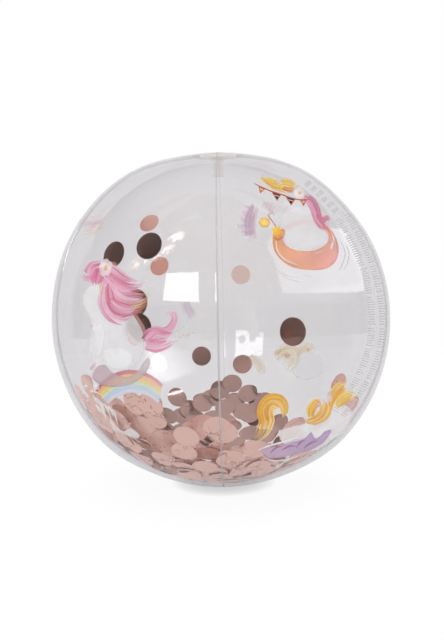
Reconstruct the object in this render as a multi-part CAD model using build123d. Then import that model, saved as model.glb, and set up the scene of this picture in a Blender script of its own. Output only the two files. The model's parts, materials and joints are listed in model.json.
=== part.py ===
from build123d import *
import math
import os

# Inflatable beach ball: four clear film gores welded at inward fins, a round
# patch at each pole, a push-in valve in the top patch, and loose round foil
# confetti inside.
# Frame: millimetres, +Z up, origin on the floor at the centre of the flat
# contact patch.  One seam faces -Y (the front), the others +X, +Y and -X.
# Shapes are built about the ball's centre and lifted when they are written.

# ---------------------------------------------------------------- film sizes
EQUATOR_R = 200.0          # outside radius at the equator
FILM_T = 0.25              # film thickness
FIN_DEPTH = 2.5            # depth of the inward weld fins
FIN_OFFSET = 0.05          # from a seam's plane to the fin beside it
SEAM_GAP = 0.02            # half the gap left at a weld between neighbours
SEAM_GAP_DEG = math.degrees(2 * SEAM_GAP / EQUATOR_R)   # whole gap, as an angle
POLE_OPEN_R = 22.0         # the gores end at this radius round each pole
PATCH_R = 30.0             # radius of the round pole patches
PATCH_GAP = 0.02           # gap left under a patch
CONTACT_R = 16.0           # radius of the flat the ball rests on
TOP_FLAT_R = 18.0          # the valve flange holds the film flat this far
TOP_Z = 198.6              # height of that flat above the ball's centre
BOTTOM_Z = -195.3          # level the bottom patch is laid under, from the centre

CENTRE_Z = -BOTTOM_Z + PATCH_GAP + FILM_T   # ball's centre above the floor

# ------------------------------------------------------------------- profile
# Outside of the inflated film: (angle from the top pole in degrees, radius
# from the ball's centre).  The shoulders stand a little fuller than the poles.
PROFILE_POLAR = [
    (20, 203.6), (30, 205.6), (45, 204.1), (60, 202.8), (75, 201.2),
    (90, EQUATOR_R), (105, 199.5), (120, 199.7), (135, 199.9), (148, 197.6),
    (160, 195.8),
]
# Its two ends: (distance from the Z axis, height from the ball's centre).
PROFILE_TOP = [
    (POLE_OPEN_R, TOP_Z - 0.10), (PATCH_R, TOP_Z - 0.95), (40.0, TOP_Z - 2.1),
]
PROFILE_BOTTOM = [
    (50.6, -188.6), (40.0, -191.65), (PATCH_R, -193.85), (POLE_OPEN_R, -194.95),
]
OFFSET_STEPS = 60          # steps along the profile when it is offset
SEARCH_STEPS = 60          # halvings when a place on the profile is sought


def from_polar(angle, radius):
    turn = math.radians(angle)
    return (radius * math.sin(turn), radius * math.cos(turn))


def in_xz(point):
    # (distance from the axis, height) as a point of the XZ plane
    return (point[0], 0, point[1])


def xz_spline(points):
    return Spline(*[in_xz(point) for point in points])


def xz_line(start, end):
    return Line(in_xz(start), in_xz(end))


film_profile = xz_spline(
    PROFILE_TOP + [from_polar(*station) for station in PROFILE_POLAR] + PROFILE_BOTTOM)


def film_point(place, depth):
    # point at a depth inside the outer profile, and the outward normal there;
    # place runs from 0 at the top to 1 at the bottom
    point = film_profile @ place
    tangent = film_profile % place
    normal_x, normal_z = -tangent.Z, tangent.X
    return (point.X - depth * normal_x, point.Z - depth * normal_z), (normal_x, normal_z)


def find_place(is_before, low, high):
    # place on the profile where is_before(point) turns from true to false
    for _ in range(SEARCH_STEPS):
        middle = (low + high) / 2
        if is_before(film_profile @ middle):
            low = middle
        else:
            high = middle
    return (low + high) / 2


def band_face(outer_depth, inner_depth):
    # closed face between two offsets of the profile
    outer, inner = [
        [film_point(i / OFFSET_STEPS, depth)[0] for i in range(OFFSET_STEPS + 1)]
        for depth in (outer_depth, inner_depth)]
    outer_curve = xz_spline(outer)
    inner_curve = xz_spline(inner)
    top_end = xz_line(outer[0], inner[0])
    bottom_end = xz_line(outer[-1], inner[-1])
    return Face(Wire([outer_curve, bottom_end, inner_curve, top_end]))


def revolve_section(edges):
    # closed section from a list of edges, turned about Z
    return Solid.revolve(Face(Wire(edges)), 360, Axis.Z)


def revolve_polygon(points):
    return revolve_section(
        [xz_line(start, end) for start, end in zip(points, points[1:] + points[:1])])


# --------------------------------------------------------------------- gores
# Name and azimuth of the gore's first edge, in degrees from +X.
GORES = [
    ("gore_panel_front_right", -90),
    ("gore_panel_back_right", 0),
    ("gore_panel_back_left", 90),
    ("gore_panel_front_left", 180),
]


def make_gore():
    # one gore between azimuths 0 and 90 degrees
    film_face = band_face(0.0, FILM_T).rotate(Axis.Z, SEAM_GAP_DEG / 2)
    shell = Solid.revolve(film_face, 90 - SEAM_GAP_DEG, Axis.Z)
    # the fins start halfway through the film, so that they overlap it
    fin_face = band_face(FILM_T / 2, FILM_T + FIN_DEPTH)
    # along the first edge: plane XZ, growing towards +Y
    first_fin = Solid.extrude(fin_face, Vector(0, FILM_T, 0)).moved(
        Location((0, FIN_OFFSET, 0)))
    # along the second edge: plane YZ, growing towards +X
    second_fin = Solid.extrude(fin_face, Vector(0, -FILM_T, 0)).moved(
        Location((0, -FIN_OFFSET, 0))).rotate(Axis.Z, 90)
    return shell.fuse(first_fin, second_fin)


# ------------------------------------------------------------------- patches
VALVE_HOLE_R = 8.6         # hole in the top patch
PATCH_STATIONS = (POLE_OPEN_R, 24.5, 27.0, PATCH_R)   # radii where it follows the film


def point_over_film(radius, top, height):
    # point at a height outside the film, at a radius near a pole
    low, high = (0.0, 0.2) if top else (0.8, 1.0)
    place = find_place(lambda point: (point.X < radius) == top, low, high)
    return film_point(place, -height)[0]


def make_patch(top, hole_r):
    # flat round the pole, then curving down onto the gores
    flat_r = TOP_FLAT_R if top else CONTACT_R

    def surface(height):
        # level of the flat, curved part and outer end of one face
        flat_z = TOP_Z + height if top else BOTTOM_Z - height
        points = [point_over_film(radius, top, height) for radius in PATCH_STATIONS]
        before_last, last = points[-2:]
        curve = Spline(
            (flat_r, 0, flat_z), *[in_xz(point) for point in points],
            tangents=[(1, 0, 0), (last[0] - before_last[0], 0, last[1] - before_last[1])])
        return flat_z, curve, last

    near_z, near_curve, near_end = surface(PATCH_GAP)
    far_z, far_curve, far_end = surface(PATCH_GAP + FILM_T)
    return revolve_section([
        xz_line((hole_r, near_z), (flat_r, near_z)),
        near_curve,
        xz_line(near_end, far_end),
        far_curve,
        xz_line((flat_r, far_z), (hole_r, far_z)),
        xz_line((hole_r, far_z), (hole_r, near_z)),
    ])


# --------------------------------------------------------------------- valve
FLANGE_R = TOP_FLAT_R      # valve flange under the top patch
FLANGE_T = 0.8
COLLAR_R = 9.0             # collar below the flange
COLLAR_LEN = 6.2           # from the film down
COLLAR_FLARE = 1.0         # bevel where the collar meets the flange
COLLAR_TAPER = 0.4         # the collar's foot is this much smaller in radius
BORE_BEVEL = 0.5           # at the top of the collar's bore

STEM_R = 6.0               # outside of the valve tube
STEM_CLEAR = 0.08          # radial clearance of the tube in the collar
STEM_BORE_R = 3.3
STEM_BORE_BEVEL = 0.3
STEM_LEN = 25.0            # tube below the film
STEM_FOOT_Z = TOP_Z - STEM_LEN
RIM_R = 8.0                # rim that rests on the flange
RIM_T = 1.4
RIM_BEVEL = 0.4
RIM_Z = TOP_Z + PATCH_GAP  # underside of the rim
RIM_TOP_Z = RIM_Z + RIM_T
BEAD_R = 7.3               # bead that stops the tube when it is pulled out
BEAD_LEN = 2.0
BEAD_BEVEL = 0.6

CAP_R = 7.4                # stopper cap
CAP_T = 1.2
CAP_BEVEL = 0.35
CAP_GAP = 0.02             # between the rim and the cap
PLUG_R = 3.2               # stopper shank at its top
PLUG_TIP_R = 2.1           # and at its tip
PLUG_LEN = 5.0
PLUG_STRAIGHT = 0.6        # length of the shank before it tapers

TETHER_X = 12.5            # stopper hinge line, measured from the valve axis
TETHER_W = 3.2
TETHER_T = 0.8
TETHER_END_R = 0.5         # round end of the strap
TETHER_GAP = 0.05          # between the cap's edge and the strap
HINGE_Z = RIM_TOP_Z + 0.6
TAB_X = 7.2                # the rim's tongue starts here, inside the rim
TAB_OVERHANG = 0.7         # tongue beyond the hinge line
TAB_T = 0.8
TAB_RISE = 0.4             # tongue above the rim's underside
TAB_CORNER_R = 1.2

FLAP_R = 4.6               # non-return flap
FLAP_T = 0.4
FLAP_X = -5.2              # flap hinge line
FLAP_HINGE_W = 4.0
FLAP_GAP = 0.1             # between the tube's foot and the flap


def make_valve_base():
    bore_r = STEM_R + STEM_CLEAR
    flange_z = TOP_Z - FLANGE_T
    foot_z = TOP_Z - COLLAR_LEN
    return revolve_polygon([
        (bore_r + BORE_BEVEL, TOP_Z), (FLANGE_R, TOP_Z), (FLANGE_R, flange_z),
        (COLLAR_R + COLLAR_FLARE, flange_z), (COLLAR_R, flange_z - COLLAR_FLARE),
        (COLLAR_R - COLLAR_TAPER, foot_z), (bore_r, foot_z),
        (bore_r, TOP_Z - BORE_BEVEL)])


def make_stem():
    bead_top_z = STEM_FOOT_Z + BEAD_LEN
    body = revolve_polygon([
        (STEM_BORE_R + STEM_BORE_BEVEL, RIM_TOP_Z), (RIM_R - RIM_BEVEL, RIM_TOP_Z),
        (RIM_R, RIM_TOP_Z - RIM_BEVEL), (RIM_R, RIM_Z), (STEM_R, RIM_Z),
        (STEM_R, bead_top_z), (BEAD_R, bead_top_z - BEAD_BEVEL),
        (BEAD_R, STEM_FOOT_Z + BEAD_BEVEL), (BEAD_R - BEAD_BEVEL, STEM_FOOT_Z),
        (STEM_BORE_R, STEM_FOOT_Z), (STEM_BORE_R, RIM_TOP_Z - STEM_BORE_BEVEL)])
    # tongue on the rim, reaching out under the stopper's strap
    tab = Box(TETHER_X + TAB_OVERHANG - TAB_X, TETHER_W, TAB_T,
              align=(Align.MIN, Align.CENTER, Align.MIN)).moved(
        Location((TAB_X, 0, RIM_Z + TAB_RISE)))
    outer_corners = tab.edges().filter_by(Axis.Z).sort_by(Axis.X)[-2:]
    tab = fillet(outer_corners, TAB_CORNER_R)
    return body.fuse(tab)


def make_plug():
    cap_z = RIM_TOP_Z + CAP_GAP
    cap_top_z = cap_z + CAP_T
    return revolve_polygon([
        (0, cap_top_z), (CAP_R - CAP_BEVEL, cap_top_z), (CAP_R, cap_top_z - CAP_BEVEL),
        (CAP_R, cap_z), (PLUG_R, cap_z), (PLUG_R, cap_z - PLUG_STRAIGHT),
        (PLUG_TIP_R, cap_z - PLUG_LEN), (0, cap_z - PLUG_LEN)])


def make_tether():
    # strap from the cap's edge to a round end on the hinge line
    start_x = CAP_R + TETHER_GAP
    strap = Box(TETHER_X - start_x, TETHER_W, TETHER_T,
                align=(Align.MIN, Align.CENTER, Align.CENTER)).moved(
        Location((start_x, 0, HINGE_Z)))
    end = Cylinder(TETHER_END_R, TETHER_W, rotation=(90, 0, 0)).moved(
        Location((TETHER_X, 0, HINGE_Z)))
    return strap.fuse(end)


def make_flap():
    # disc under the tube's foot, with a lug out to its hinge pin
    top_z = STEM_FOOT_Z - FLAP_GAP
    disc = Cylinder(FLAP_R, FLAP_T, align=(Align.CENTER, Align.CENTER, Align.MAX)
                    ).moved(Location((0, 0, top_z)))
    lug = Box(-FLAP_X, FLAP_HINGE_W, FLAP_T,
              align=(Align.MAX, Align.CENTER, Align.MAX)).moved(
        Location((0, 0, top_z)))
    pin = Cylinder(FLAP_T / 2, FLAP_HINGE_W, rotation=(90, 0, 0)).moved(
        Location((FLAP_X, 0, top_z - FLAP_T / 2)))
    return disc.fuse(lug, pin)


# ------------------------------------------------------------------ confetti
DISC_R = 14.0              # foil confetti disc
DISC_T = 0.15

# Loose discs: centre x, y, z (from the ball's centre), then unit normal x, y, z.
# The lower layer lies against the inside of the film.
LOWER_LAYER = [
    (52.16, 86.58, -159.93, 0.2531, 0.4423, -0.8604),
    (-60.36, -49.84, -171.17, -0.334, -0.2256, -0.9152),
    (-127.73, 26, -136.79, -0.7392, 0.094, -0.6669),
    (-37.2, -92.42, -159.59, -0.1957, -0.4519, -0.8703),
    (48.2, 49.45, -175.6, 0.3276, 0.336, -0.883),
    (-26.34, -118.21, -142.47, -0.1752, -0.6154, -0.7685),
    (-35.28, -154.21, -105.73, -0.1852, -0.8103, -0.5559),
    (-132.26, -44.24, -127.1, -0.732, -0.1246, -0.6698),
    (42.64, -31.2, -182.78, 0.2241, -0.1639, -0.9607),
    (-19.61, 57.72, -176.62, -0.0884, 0.2852, -0.9544),
    (-30.49, -23.4, -184.38, -0.1061, -0.2518, -0.9619),
    (-153.79, -30.35, -107.84, -0.8081, -0.1597, -0.567),
    (-141.03, -2.2, -122.99, -0.7503, -0.0728, -0.6571),
    (-29.67, 102.58, -156.47, -0.1122, 0.5099, -0.8529),
    (3.38, -159.92, -101.5, -0.0198, -0.8679, -0.4963),
    (-4, 46.65, -183.19, 0.0013, 0.1633, -0.9866),
    (-4.69, 119.75, -146.21, 0.0238, 0.5745, -0.8181),
    (10.67, -33.69, -185.2, 0.0436, -0.252, -0.9668),
    (-40.8, -107.38, -148.94, -0.2167, -0.4863, -0.8465),
    (-106.71, -100.29, -120.43, -0.5943, -0.5362, -0.5994),
    (-119.99, -108.49, -100.16, -0.6306, -0.5703, -0.5264),
    (85.42, -87.22, -144.46, 0.4178, -0.4042, -0.8137),
    (-18.18, 95.27, -163.68, -0.0954, 0.5008, -0.8603),
    (10.19, -37.39, -186.28, 0.0533, -0.1969, -0.979),
    (-19.8, -79.09, -167.36, -0.0948, -0.4254, -0.9),
    (-59.38, -22.69, -179.33, -0.3122, -0.1194, -0.9425),
    (38.71, -112.47, -148.49, 0.2034, -0.5917, -0.7801),
    (73.07, 97.92, -144.48, 0.3859, 0.5787, -0.7185),
    (130.59, -72.36, -117.95, 0.6863, -0.3799, -0.6202),
    (53.85, 56.85, -172.14, 0.3466, 0.3425, -0.8732),
    (-18.18, -120.82, -145.85, -0.0952, -0.635, -0.7666),
    (-99.33, -101.6, -124.63, -0.5943, -0.5362, -0.5994),
    (87.96, -43.48, -161.89, 0.4252, -0.2464, -0.8709),
    (5.87, 74.71, -173.17, -0.0831, 0.3824, -0.9202),
    (13.79, -7.03, -187.87, 0.0465, -0.0494, -0.9977),
    (-97.7, -58.26, -150.71, -0.5505, -0.3062, -0.7766),
    (45.03, -91.45, -159.84, 0.2342, -0.5261, -0.8175),
    (-0.01, -65.18, -176.51, 0.0855, -0.3097, -0.947),
    (10.41, -134.88, -133.79, 0.0548, -0.7088, -0.7032),
    (48.82, -99.66, -152.05, 0.2342, -0.5261, -0.8175),
    (-43.55, 1.05, -184.14, -0.2757, -0.0235, -0.961),
    (64.32, -66.97, -165.34, 0.372, -0.3198, -0.8714),
    (64.1, 18.86, -178.15, 0.3372, 0.0992, -0.9362),
    (72.45, -20.92, -172.78, 0.4116, -0.2291, -0.8821),
    (-106.76, -5.37, -151.2, -0.5743, -0.1208, -0.8097),
    (10.01, 111.78, -152.6, 0.0554, 0.54, -0.8398),
    (-18.84, -45.38, -180.67, -0.2149, -0.115, -0.9698),
    (-37.11, 57.47, -173.96, -0.0612, 0.2897, -0.9552),
    (-84.12, 15.06, -168.36, -0.4401, 0.0942, -0.893),
    (-105.49, -50.72, -149.99, -0.5544, -0.2666, -0.7884),
    (58.24, 32.41, -175.47, 0.3314, 0.24, -0.9124),
    (-106.29, 85.62, -132.55, -0.5586, 0.4501, -0.6967),
    (-159.92, -70.21, -75.49, -0.8404, -0.3696, -0.3964),
    (-65.52, 34.74, -173.66, -0.4297, 0.1263, -0.8941),
    (-81.16, 78.12, -151.31, -0.4275, 0.4157, -0.8028),
    (92.58, -23.59, -161.95, 0.363, -0.2114, -0.9075),
    (-84.09, 26.22, -168.64, -0.4422, 0.138, -0.8862),
    (-138.76, 27.94, -126.03, -0.7392, 0.094, -0.6669),
    (-43.31, 4.6, -181.59, -0.2551, 0.0781, -0.9638),
    (81.96, -31.78, -166.79, 0.4253, -0.2468, -0.8708),
    (-65.72, 136.51, -115.1, -0.3455, 0.7174, -0.605),
    (-154.84, -52.05, -94.77, -0.8714, -0.2095, -0.4436),
    (-144.4, 6.18, -123.74, -0.7589, 0.0325, -0.6504),
    (-90.86, 3.81, -163.65, -0.4642, 0.0156, -0.8856),
    (-2.3, -93.74, -164.82, 0.0119, -0.4593, -0.8882),
    (-57.65, 117.78, -137.86, -0.3033, 0.6188, -0.7246),
    (-20.58, 69.03, -174.36, -0.0884, 0.2852, -0.9544),
    (59.67, -53.92, -170.82, 0.3838, -0.3507, -0.8542),
    (7.21, -72.02, -175.96, 0.0377, -0.3788, -0.9247),
    (87.39, 64.38, -155.15, 0.458, 0.3874, -0.8001),
    (-62.86, 46.68, -171.02, -0.3618, 0.0935, -0.9276),
    (-5.31, 24.43, -184.91, -0.0172, 0.1117, -0.9936),
    (-91.32, -44.07, -157.31, -0.5759, -0.1973, -0.7934),
    (4.62, -76.83, -170.23, 0.0758, -0.3624, -0.9289),
    (29.39, -114.86, -146.36, 0.2748, -0.5409, -0.7949),
    (-35.87, -81.78, -166.75, -0.1957, -0.452, -0.8703),
    (-47.12, -53.54, -176.39, -0.2479, -0.2813, -0.9271),
    (-29.77, -29.72, -184.02, -0.1061, -0.2518, -0.9619),
    (127.8, -4.22, -140.88, 0.6717, -0.0221, -0.7405),
    (-146.43, -35.19, -112.14, -0.8693, -0.0701, -0.4892),
    (-74.39, -19.62, -172.04, -0.3964, -0.1596, -0.9041),
    (-22.75, 63.11, -177.15, -0.0884, 0.2852, -0.9544),
    (-3.9, -165.18, -94.37, -0.0201, -0.8681, -0.496),
    (-112.04, 68.37, -132.98, -0.6947, 0.2755, -0.6644),
    (-99.57, -19.87, -159.27, -0.5071, -0.0903, -0.8572),
    (-117.73, 56.75, -133.66, -0.7117, 0.2461, -0.658),
    (9.16, 9.4, -189.82, 0.0482, 0.0496, -0.9976),
    (-17.99, -35.06, -185.47, -0.1125, -0.2296, -0.9668),
    (33.34, -80.79, -164.88, 0.1681, -0.4276, -0.8882),
    (-70.02, -161.85, -71.46, -0.3683, -0.8506, -0.3753),
    (98.59, -45.19, -153.38, 0.3959, -0.1567, -0.9048),
    (80.89, -46.87, -165.71, 0.4252, -0.2464, -0.8709),
    (48.22, 84.13, -163.7, 0.2531, 0.4423, -0.8604),
    (78.59, -72.33, -155.95, 0.372, -0.3198, -0.8714),
    (-78.14, 18.71, -167.75, -0.4446, 0.076, -0.8925),
    (-139.59, 28.88, -120.62, -0.7658, 0.0765, -0.6385),
    (-127.52, -3.03, -139.56, -0.7187, -0.076, -0.6911),
    (87.15, 73.69, -152.23, 0.458, 0.3874, -0.8001),
    (-156.68, 35.34, -102.01, -0.8233, 0.186, -0.5363),
    (-136.05, -101.82, -83.96, -0.6804, -0.5615, -0.4709),
    (155.17, 12.16, -109.42, 0.8155, 0.064, -0.5752),
    (-64.89, 6.02, -178.76, -0.3415, 0.0318, -0.9393),
    (7.85, -130.14, -137.11, 0.0548, -0.7088, -0.7032),
    (-83.62, 61.08, -159.61, -0.4396, 0.3211, -0.8389),
    (-129.74, 52.91, -123.87, -0.7122, 0.2459, -0.6575),
    (35.21, -75.55, -168.66, 0.1539, -0.406, -0.9008),
    (-43.56, 28.97, -180.96, -0.2648, 0.1677, -0.9496),
    (-146.39, -11.67, -118.57, -0.7847, -0.0489, -0.6179),
    (-119.8, -7.94, -143.57, -0.717, -0.088, -0.6915),
    (-71.94, -43.58, -169.86, -0.3364, -0.211, -0.9178),
    (-106.21, 2.45, -157.84, -0.5582, 0.013, -0.8296),
    (-56.46, 94.61, -154.24, -0.3473, 0.4865, -0.8017),
    (92.79, 10.85, -165.74, 0.4879, 0.0569, -0.8711),
    (-37.2, -86.04, -165.57, -0.1957, -0.452, -0.8703),
    (-78.2, 88.3, -149.29, -0.4111, 0.4641, -0.7846),
    (-105.75, -22.73, -151.84, -0.6151, -0.0801, -0.7843),
    (-35.25, -54.82, -176.64, -0.3101, -0.3484, -0.8846),
    (60.81, 6.94, -178.54, 0.3256, 0.1485, -0.9338),
    (36.14, -140.27, -123.36, 0.1899, -0.737, -0.6487),
    (43.78, 117.69, -141.93, 0.2676, 0.6449, -0.7159),
    (-38.39, 36.24, -182.8, -0.2022, 0.1906, -0.9606),
    (-165.2, -4.64, -94.29, -0.8681, -0.0245, -0.4957),
    (-137.25, -79.84, -101.9, -0.6927, -0.5244, -0.4953),
    (-39.02, -135.33, -126.46, -0.1607, -0.6827, -0.7128),
    (-127.17, 69.91, -121.75, -0.6843, 0.3124, -0.6589),
    (74.47, 57.66, -163.78, 0.4567, 0.3576, -0.8146),
    (21, -105.51, -154.16, 0.2749, -0.541, -0.7948),
    (-153.74, 27.01, -105.33, -0.8086, 0.125, -0.5749),
    (-122.11, -14.96, -141.96, -0.717, -0.088, -0.6915),
    (16.88, -58.74, -178.69, 0.0614, -0.3155, -0.9469),
    (57.7, 127.71, -128.68, 0.3032, 0.6711, -0.6765),
    (-130.13, 55.5, -127.22, -0.6838, 0.2918, -0.6688),
    (-87.99, 59.56, -154.43, -0.4786, 0.3521, -0.8043),
    (-88.8, -20.76, -166.99, -0.4668, -0.1092, -0.8776),
    (-7.84, -103.85, -156.96, -0.0355, -0.5249, -0.8504),
    (25.42, 33.73, -185.52, 0.1339, 0.1776, -0.975),
    (-28.84, 22.6, -184.97, -0.2654, 0.1675, -0.9495),
    (-105.41, 50.72, -149.24, -0.5162, 0.2776, -0.8102),
    (-63.58, -113.23, -139.05, -0.3344, -0.5948, -0.731),
    (-3.81, 21.46, -187.32, -0.0505, 0.0465, -0.9976),
    (-128.87, -91.8, -103.36, -0.6786, -0.5528, -0.4836),
    (-89.95, -83.13, -145.59, -0.4728, -0.437, -0.7652),
    (-129.64, -19.33, -137.92, -0.6812, -0.1015, -0.725),
    (17.12, 73.36, -172.78, -0.0372, 0.3764, -0.9257),
    (11.53, 157.68, -99.48, 0.0661, 0.8184, -0.5709),
    (33.41, 144.41, -112.01, 0.227, 0.7558, -0.6142),
    (-5.92, 150.88, -108.17, 0.0282, 0.813, -0.5816),
    (15.15, 142.25, -122.19, 0.0209, 0.7215, -0.6921),
    (47.35, 135.06, -121.93, 0.2425, 0.7119, -0.6591),
    (-17.72, 147.2, -118.05, -0.059, 0.7629, -0.6438),
    (-30.13, 137.97, -121.46, -0.1367, 0.7405, -0.658),
    (1.03, 133.28, -129.27, 0.1052, 0.6941, -0.7121),
    (25.27, 126.91, -134.11, 0.0671, 0.676, -0.7338),
    (35.38, 118.7, -137.08, 0.1839, 0.6288, -0.7555),
    (-48.03, 126.33, -130.83, -0.2509, 0.6652, -0.7032),
    (-145.53, -95.76, -61.8, -0.7749, -0.5283, -0.347),
    (-88.3, -145.2, -72.44, -0.5019, -0.7806, -0.3724),
    (-107.31, -121.13, -93.46, -0.5884, -0.6231, -0.5153),
]

# The upper layer lies on the lower one.
UPPER_LAYER = [
    (-49.26, 42.67, -159.11, -0.2914, 0.2877, -0.9123),
    (35.97, 12.5, -169.69, 0.236, -0.0112, -0.9717),
    (78.02, -81.7, -133.81, 0.4454, -0.4667, -0.7641),
    (-41.8, -8.68, -169.84, -0.2388, -0.0495, -0.9698),
    (15.68, 39.03, -168.88, 0.1386, 0.2832, -0.949),
    (-137.26, -50.46, -94.14, -0.7473, -0.3657, -0.5548),
    (-72.42, 10.55, -156.82, -0.4855, 0.0697, -0.8715),
    (-86.22, -70.27, -135.25, -0.4923, -0.4013, -0.7724),
    (139.43, -36.35, -99.54, 0.7961, -0.2076, -0.5685),
    (-122.51, -51.59, -111.36, -0.7578, -0.3585, -0.5452),
    (9.29, -0.07, -174.11, 0.0692, -0.0545, -0.9961),
    (-30.23, -71.83, -155.08, -0.1901, -0.445, -0.8751),
    (-13.42, 52.71, -166.47, -0.0768, 0.301, -0.9505),
    (-95.65, 52.48, -136.98, -0.5459, 0.2997, -0.7824),
    (-112.84, 6.8, -133.75, -0.6443, 0.0391, -0.7638),
    (75.37, 2.25, -156.31, 0.4347, 0.0208, -0.9004),
    (-12.51, 70.39, -154.36, -0.1013, 0.4536, -0.8854),
    (-14.58, 34.01, -169.29, -0.0696, 0.2681, -0.9609),
    (16.33, -20.08, -173.21, 0.0932, -0.1148, -0.989),
    (-92.69, -72.44, -127.54, -0.4434, -0.3912, -0.8065),
    (-68.42, 51.68, -151.99, -0.3574, 0.3231, -0.8763),
    (35.75, 41.47, -166.35, 0.2041, 0.2372, -0.9498),
    (92.83, -28.79, -144.79, 0.5347, -0.1121, -0.8376),
    (54.17, 116.93, -118.58, 0.3095, 0.6677, -0.6771),
    (-102.17, -76.56, -115.72, -0.5737, -0.4453, -0.6875),
    (-47.14, -71.21, -152.88, -0.2693, -0.4067, -0.873),
    (-69.4, 32.95, -156.16, -0.3851, 0.2659, -0.8837),
    (-26.53, 83.75, -144.87, -0.0206, 0.4328, -0.9012),
    (25.5, -40.95, -167.57, 0.1119, -0.1951, -0.9744),
    (-105.59, -90.52, -105.37, -0.6387, -0.4878, -0.5951),
    (-15.11, -111.91, -133.84, -0.0861, -0.6391, -0.7643),
    (-41.83, 69.32, -153.45, -0.2313, 0.2908, -0.9284),
    (13.99, 60.3, -163.18, 0.1086, 0.376, -0.9202),
    (-48.38, -46.08, -161.19, -0.2804, -0.3076, -0.9092),
    (83.61, 43.31, -147.65, 0.4776, 0.2471, -0.8431),
    (-83.26, -116.73, -100.56, -0.4755, -0.6664, -0.5743),
    (-79.08, -55.88, -143.82, -0.4064, -0.3748, -0.8333),
    (-75.62, -134.47, -80.05, -0.4231, -0.7255, -0.5428),
    (-4.55, 91.26, -147.43, -0.1088, 0.4463, -0.8882),
    (-63.15, -98.8, -127.78, -0.4206, -0.634, -0.6489),
    (-98.93, -29.71, -138.86, -0.5252, -0.1919, -0.829),
    (-106.98, -102.68, -90.91, -0.6424, -0.5194, -0.5635),
    (1.89, 100.21, -140.51, -0.0484, 0.4279, -0.9025),
    (-124.47, -73.37, -98.95, -0.7108, -0.4192, -0.5648),
    (-18.16, 66.75, -158.57, -0.2153, 0.278, -0.9362),
    (76.67, -117.83, -104.43, 0.4376, -0.6728, -0.5965),
    (61.54, 13.89, -163.36, 0.3517, 0.0793, -0.9328),
    (79.71, -94.4, -122.91, 0.4464, -0.4959, -0.7449),
    (46.89, -48.7, -160.62, 0.2195, -0.2463, -0.944),
    (-57.29, -75.61, -146.15, -0.274, -0.4178, -0.8662),
    (59.1, 58.16, -154.25, 0.3376, 0.3323, -0.8807),
    (-68.92, -131.8, -91.05, -0.4225, -0.7188, -0.552),
    (-103.55, -41.34, -135.04, -0.5911, -0.2364, -0.7712),
    (-83.89, -25.62, -150.27, -0.4649, -0.1525, -0.8721),
    (-58.84, -69.37, -147.33, -0.274, -0.4178, -0.8662),
    (117.94, -7.96, -128.24, 0.6802, 0.0053, -0.733),
    (-12.34, 36.31, -170.01, -0.0696, 0.2681, -0.9609),
    (-2.69, 83.31, -150.34, -0.1088, 0.4463, -0.8882),
    (-89.25, 1.42, -149.25, -0.5344, -0.0759, -0.8418),
    (52.99, -62.96, -153.23, 0.2555, -0.2999, -0.9191),
    (-85.61, 32.97, -146.48, -0.4482, 0.2992, -0.8424),
    (-75.12, 88.66, -131.01, -0.429, 0.5062, -0.7481),
    (-38.24, 98.04, -139.98, -0.2184, 0.5596, -0.7994),
    (93.95, -5.83, -147.66, 0.5366, -0.0333, -0.8432),
    (-10.09, 86.77, -150.39, -0.1157, 0.4384, -0.8913),
    (-15.98, -146.43, -94.72, -0.0909, -0.8361, -0.5411),
    (-49.66, 75.17, -146.71, -0.2434, 0.3131, -0.918),
    (-29.95, 122.73, -121.28, -0.1709, 0.7008, -0.6926),
    (121.69, 15.87, -124.92, 0.6948, 0.0905, -0.7135),
    (-48.56, 73.65, -148.96, -0.2372, 0.3015, -0.9235),
    (-92.28, 51.31, -137.98, -0.5315, 0.3083, -0.789),
    (-58.87, -117.89, -115.35, -0.3363, -0.673, -0.6588),
    (-3.65, -117.36, -128.78, -0.0719, -0.645, -0.7608),
    (-86.06, -106.95, -105.53, -0.5458, -0.6797, -0.4901),
    (-128.75, -15.5, -117.69, -0.735, -0.0887, -0.6723),
    (-27.88, -137.14, -103.88, -0.1194, -0.8176, -0.5632),
    (-42.9, 59.87, -158.88, -0.245, 0.342, -0.9072),
    (-37.46, 51.15, -161.55, -0.2301, 0.2953, -0.9273),
    (-118.04, 33.17, -125.04, -0.6741, 0.1892, -0.714),
    (-126.3, -64.91, -100.88, -0.7108, -0.4192, -0.5648),
    (-139.68, 27.54, -101.98, -0.7974, 0.1575, -0.5825),
    (-71.95, -101.69, -121.18, -0.437, -0.6459, -0.6259),
    (-148.97, -29.28, -85.79, -0.8325, -0.2155, -0.5104),
    (-36.09, -96.31, -140.99, -0.1737, -0.5789, -0.7967),
    (37.52, -6.96, -170.17, 0.1859, -0.0836, -0.979),
    (-11.27, -83.01, -153.79, -0.0643, -0.4741, -0.8781),
    (-14.75, 103.87, -136.63, -0.0031, 0.4406, -0.8977),
    (-81.41, -26.69, -152.73, -0.4649, -0.1525, -0.8721),
    (33.09, 77.29, -153.61, 0.1894, 0.4414, -0.8771),
]

# Single discs held on the film: (azimuth, latitude, depth below its inner face).
FRONT_FILM = [
    (-112.1, 26.2, 3.4), (-125.3, 23.8, 3.4), (-114.9, 9.4, 5.2),
    (-113.2, 2.4, 3.4), (-68.4, 0.5, 3.4),
]
BACK_FILM = [
    (128.9, 39.5, 3.4), (118.5, 20.4, 3.4), (81.9, 16, 3.4),
    (100.1, -18.7, 3.4), (81.5, -22.5, 3.4), (28.6, -27.5, 3.4),
    (8.7, -34.1, 3.4),
]


def loose_disc(x, y, z, normal_x, normal_y, normal_z):
    # a flat foil disc centred at a point
    middle = Plane(origin=(x, y, z), z_dir=(normal_x, normal_y, normal_z))
    return Solid.make_cylinder(DISC_R, DISC_T, middle.offset(-DISC_T / 2))


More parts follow.
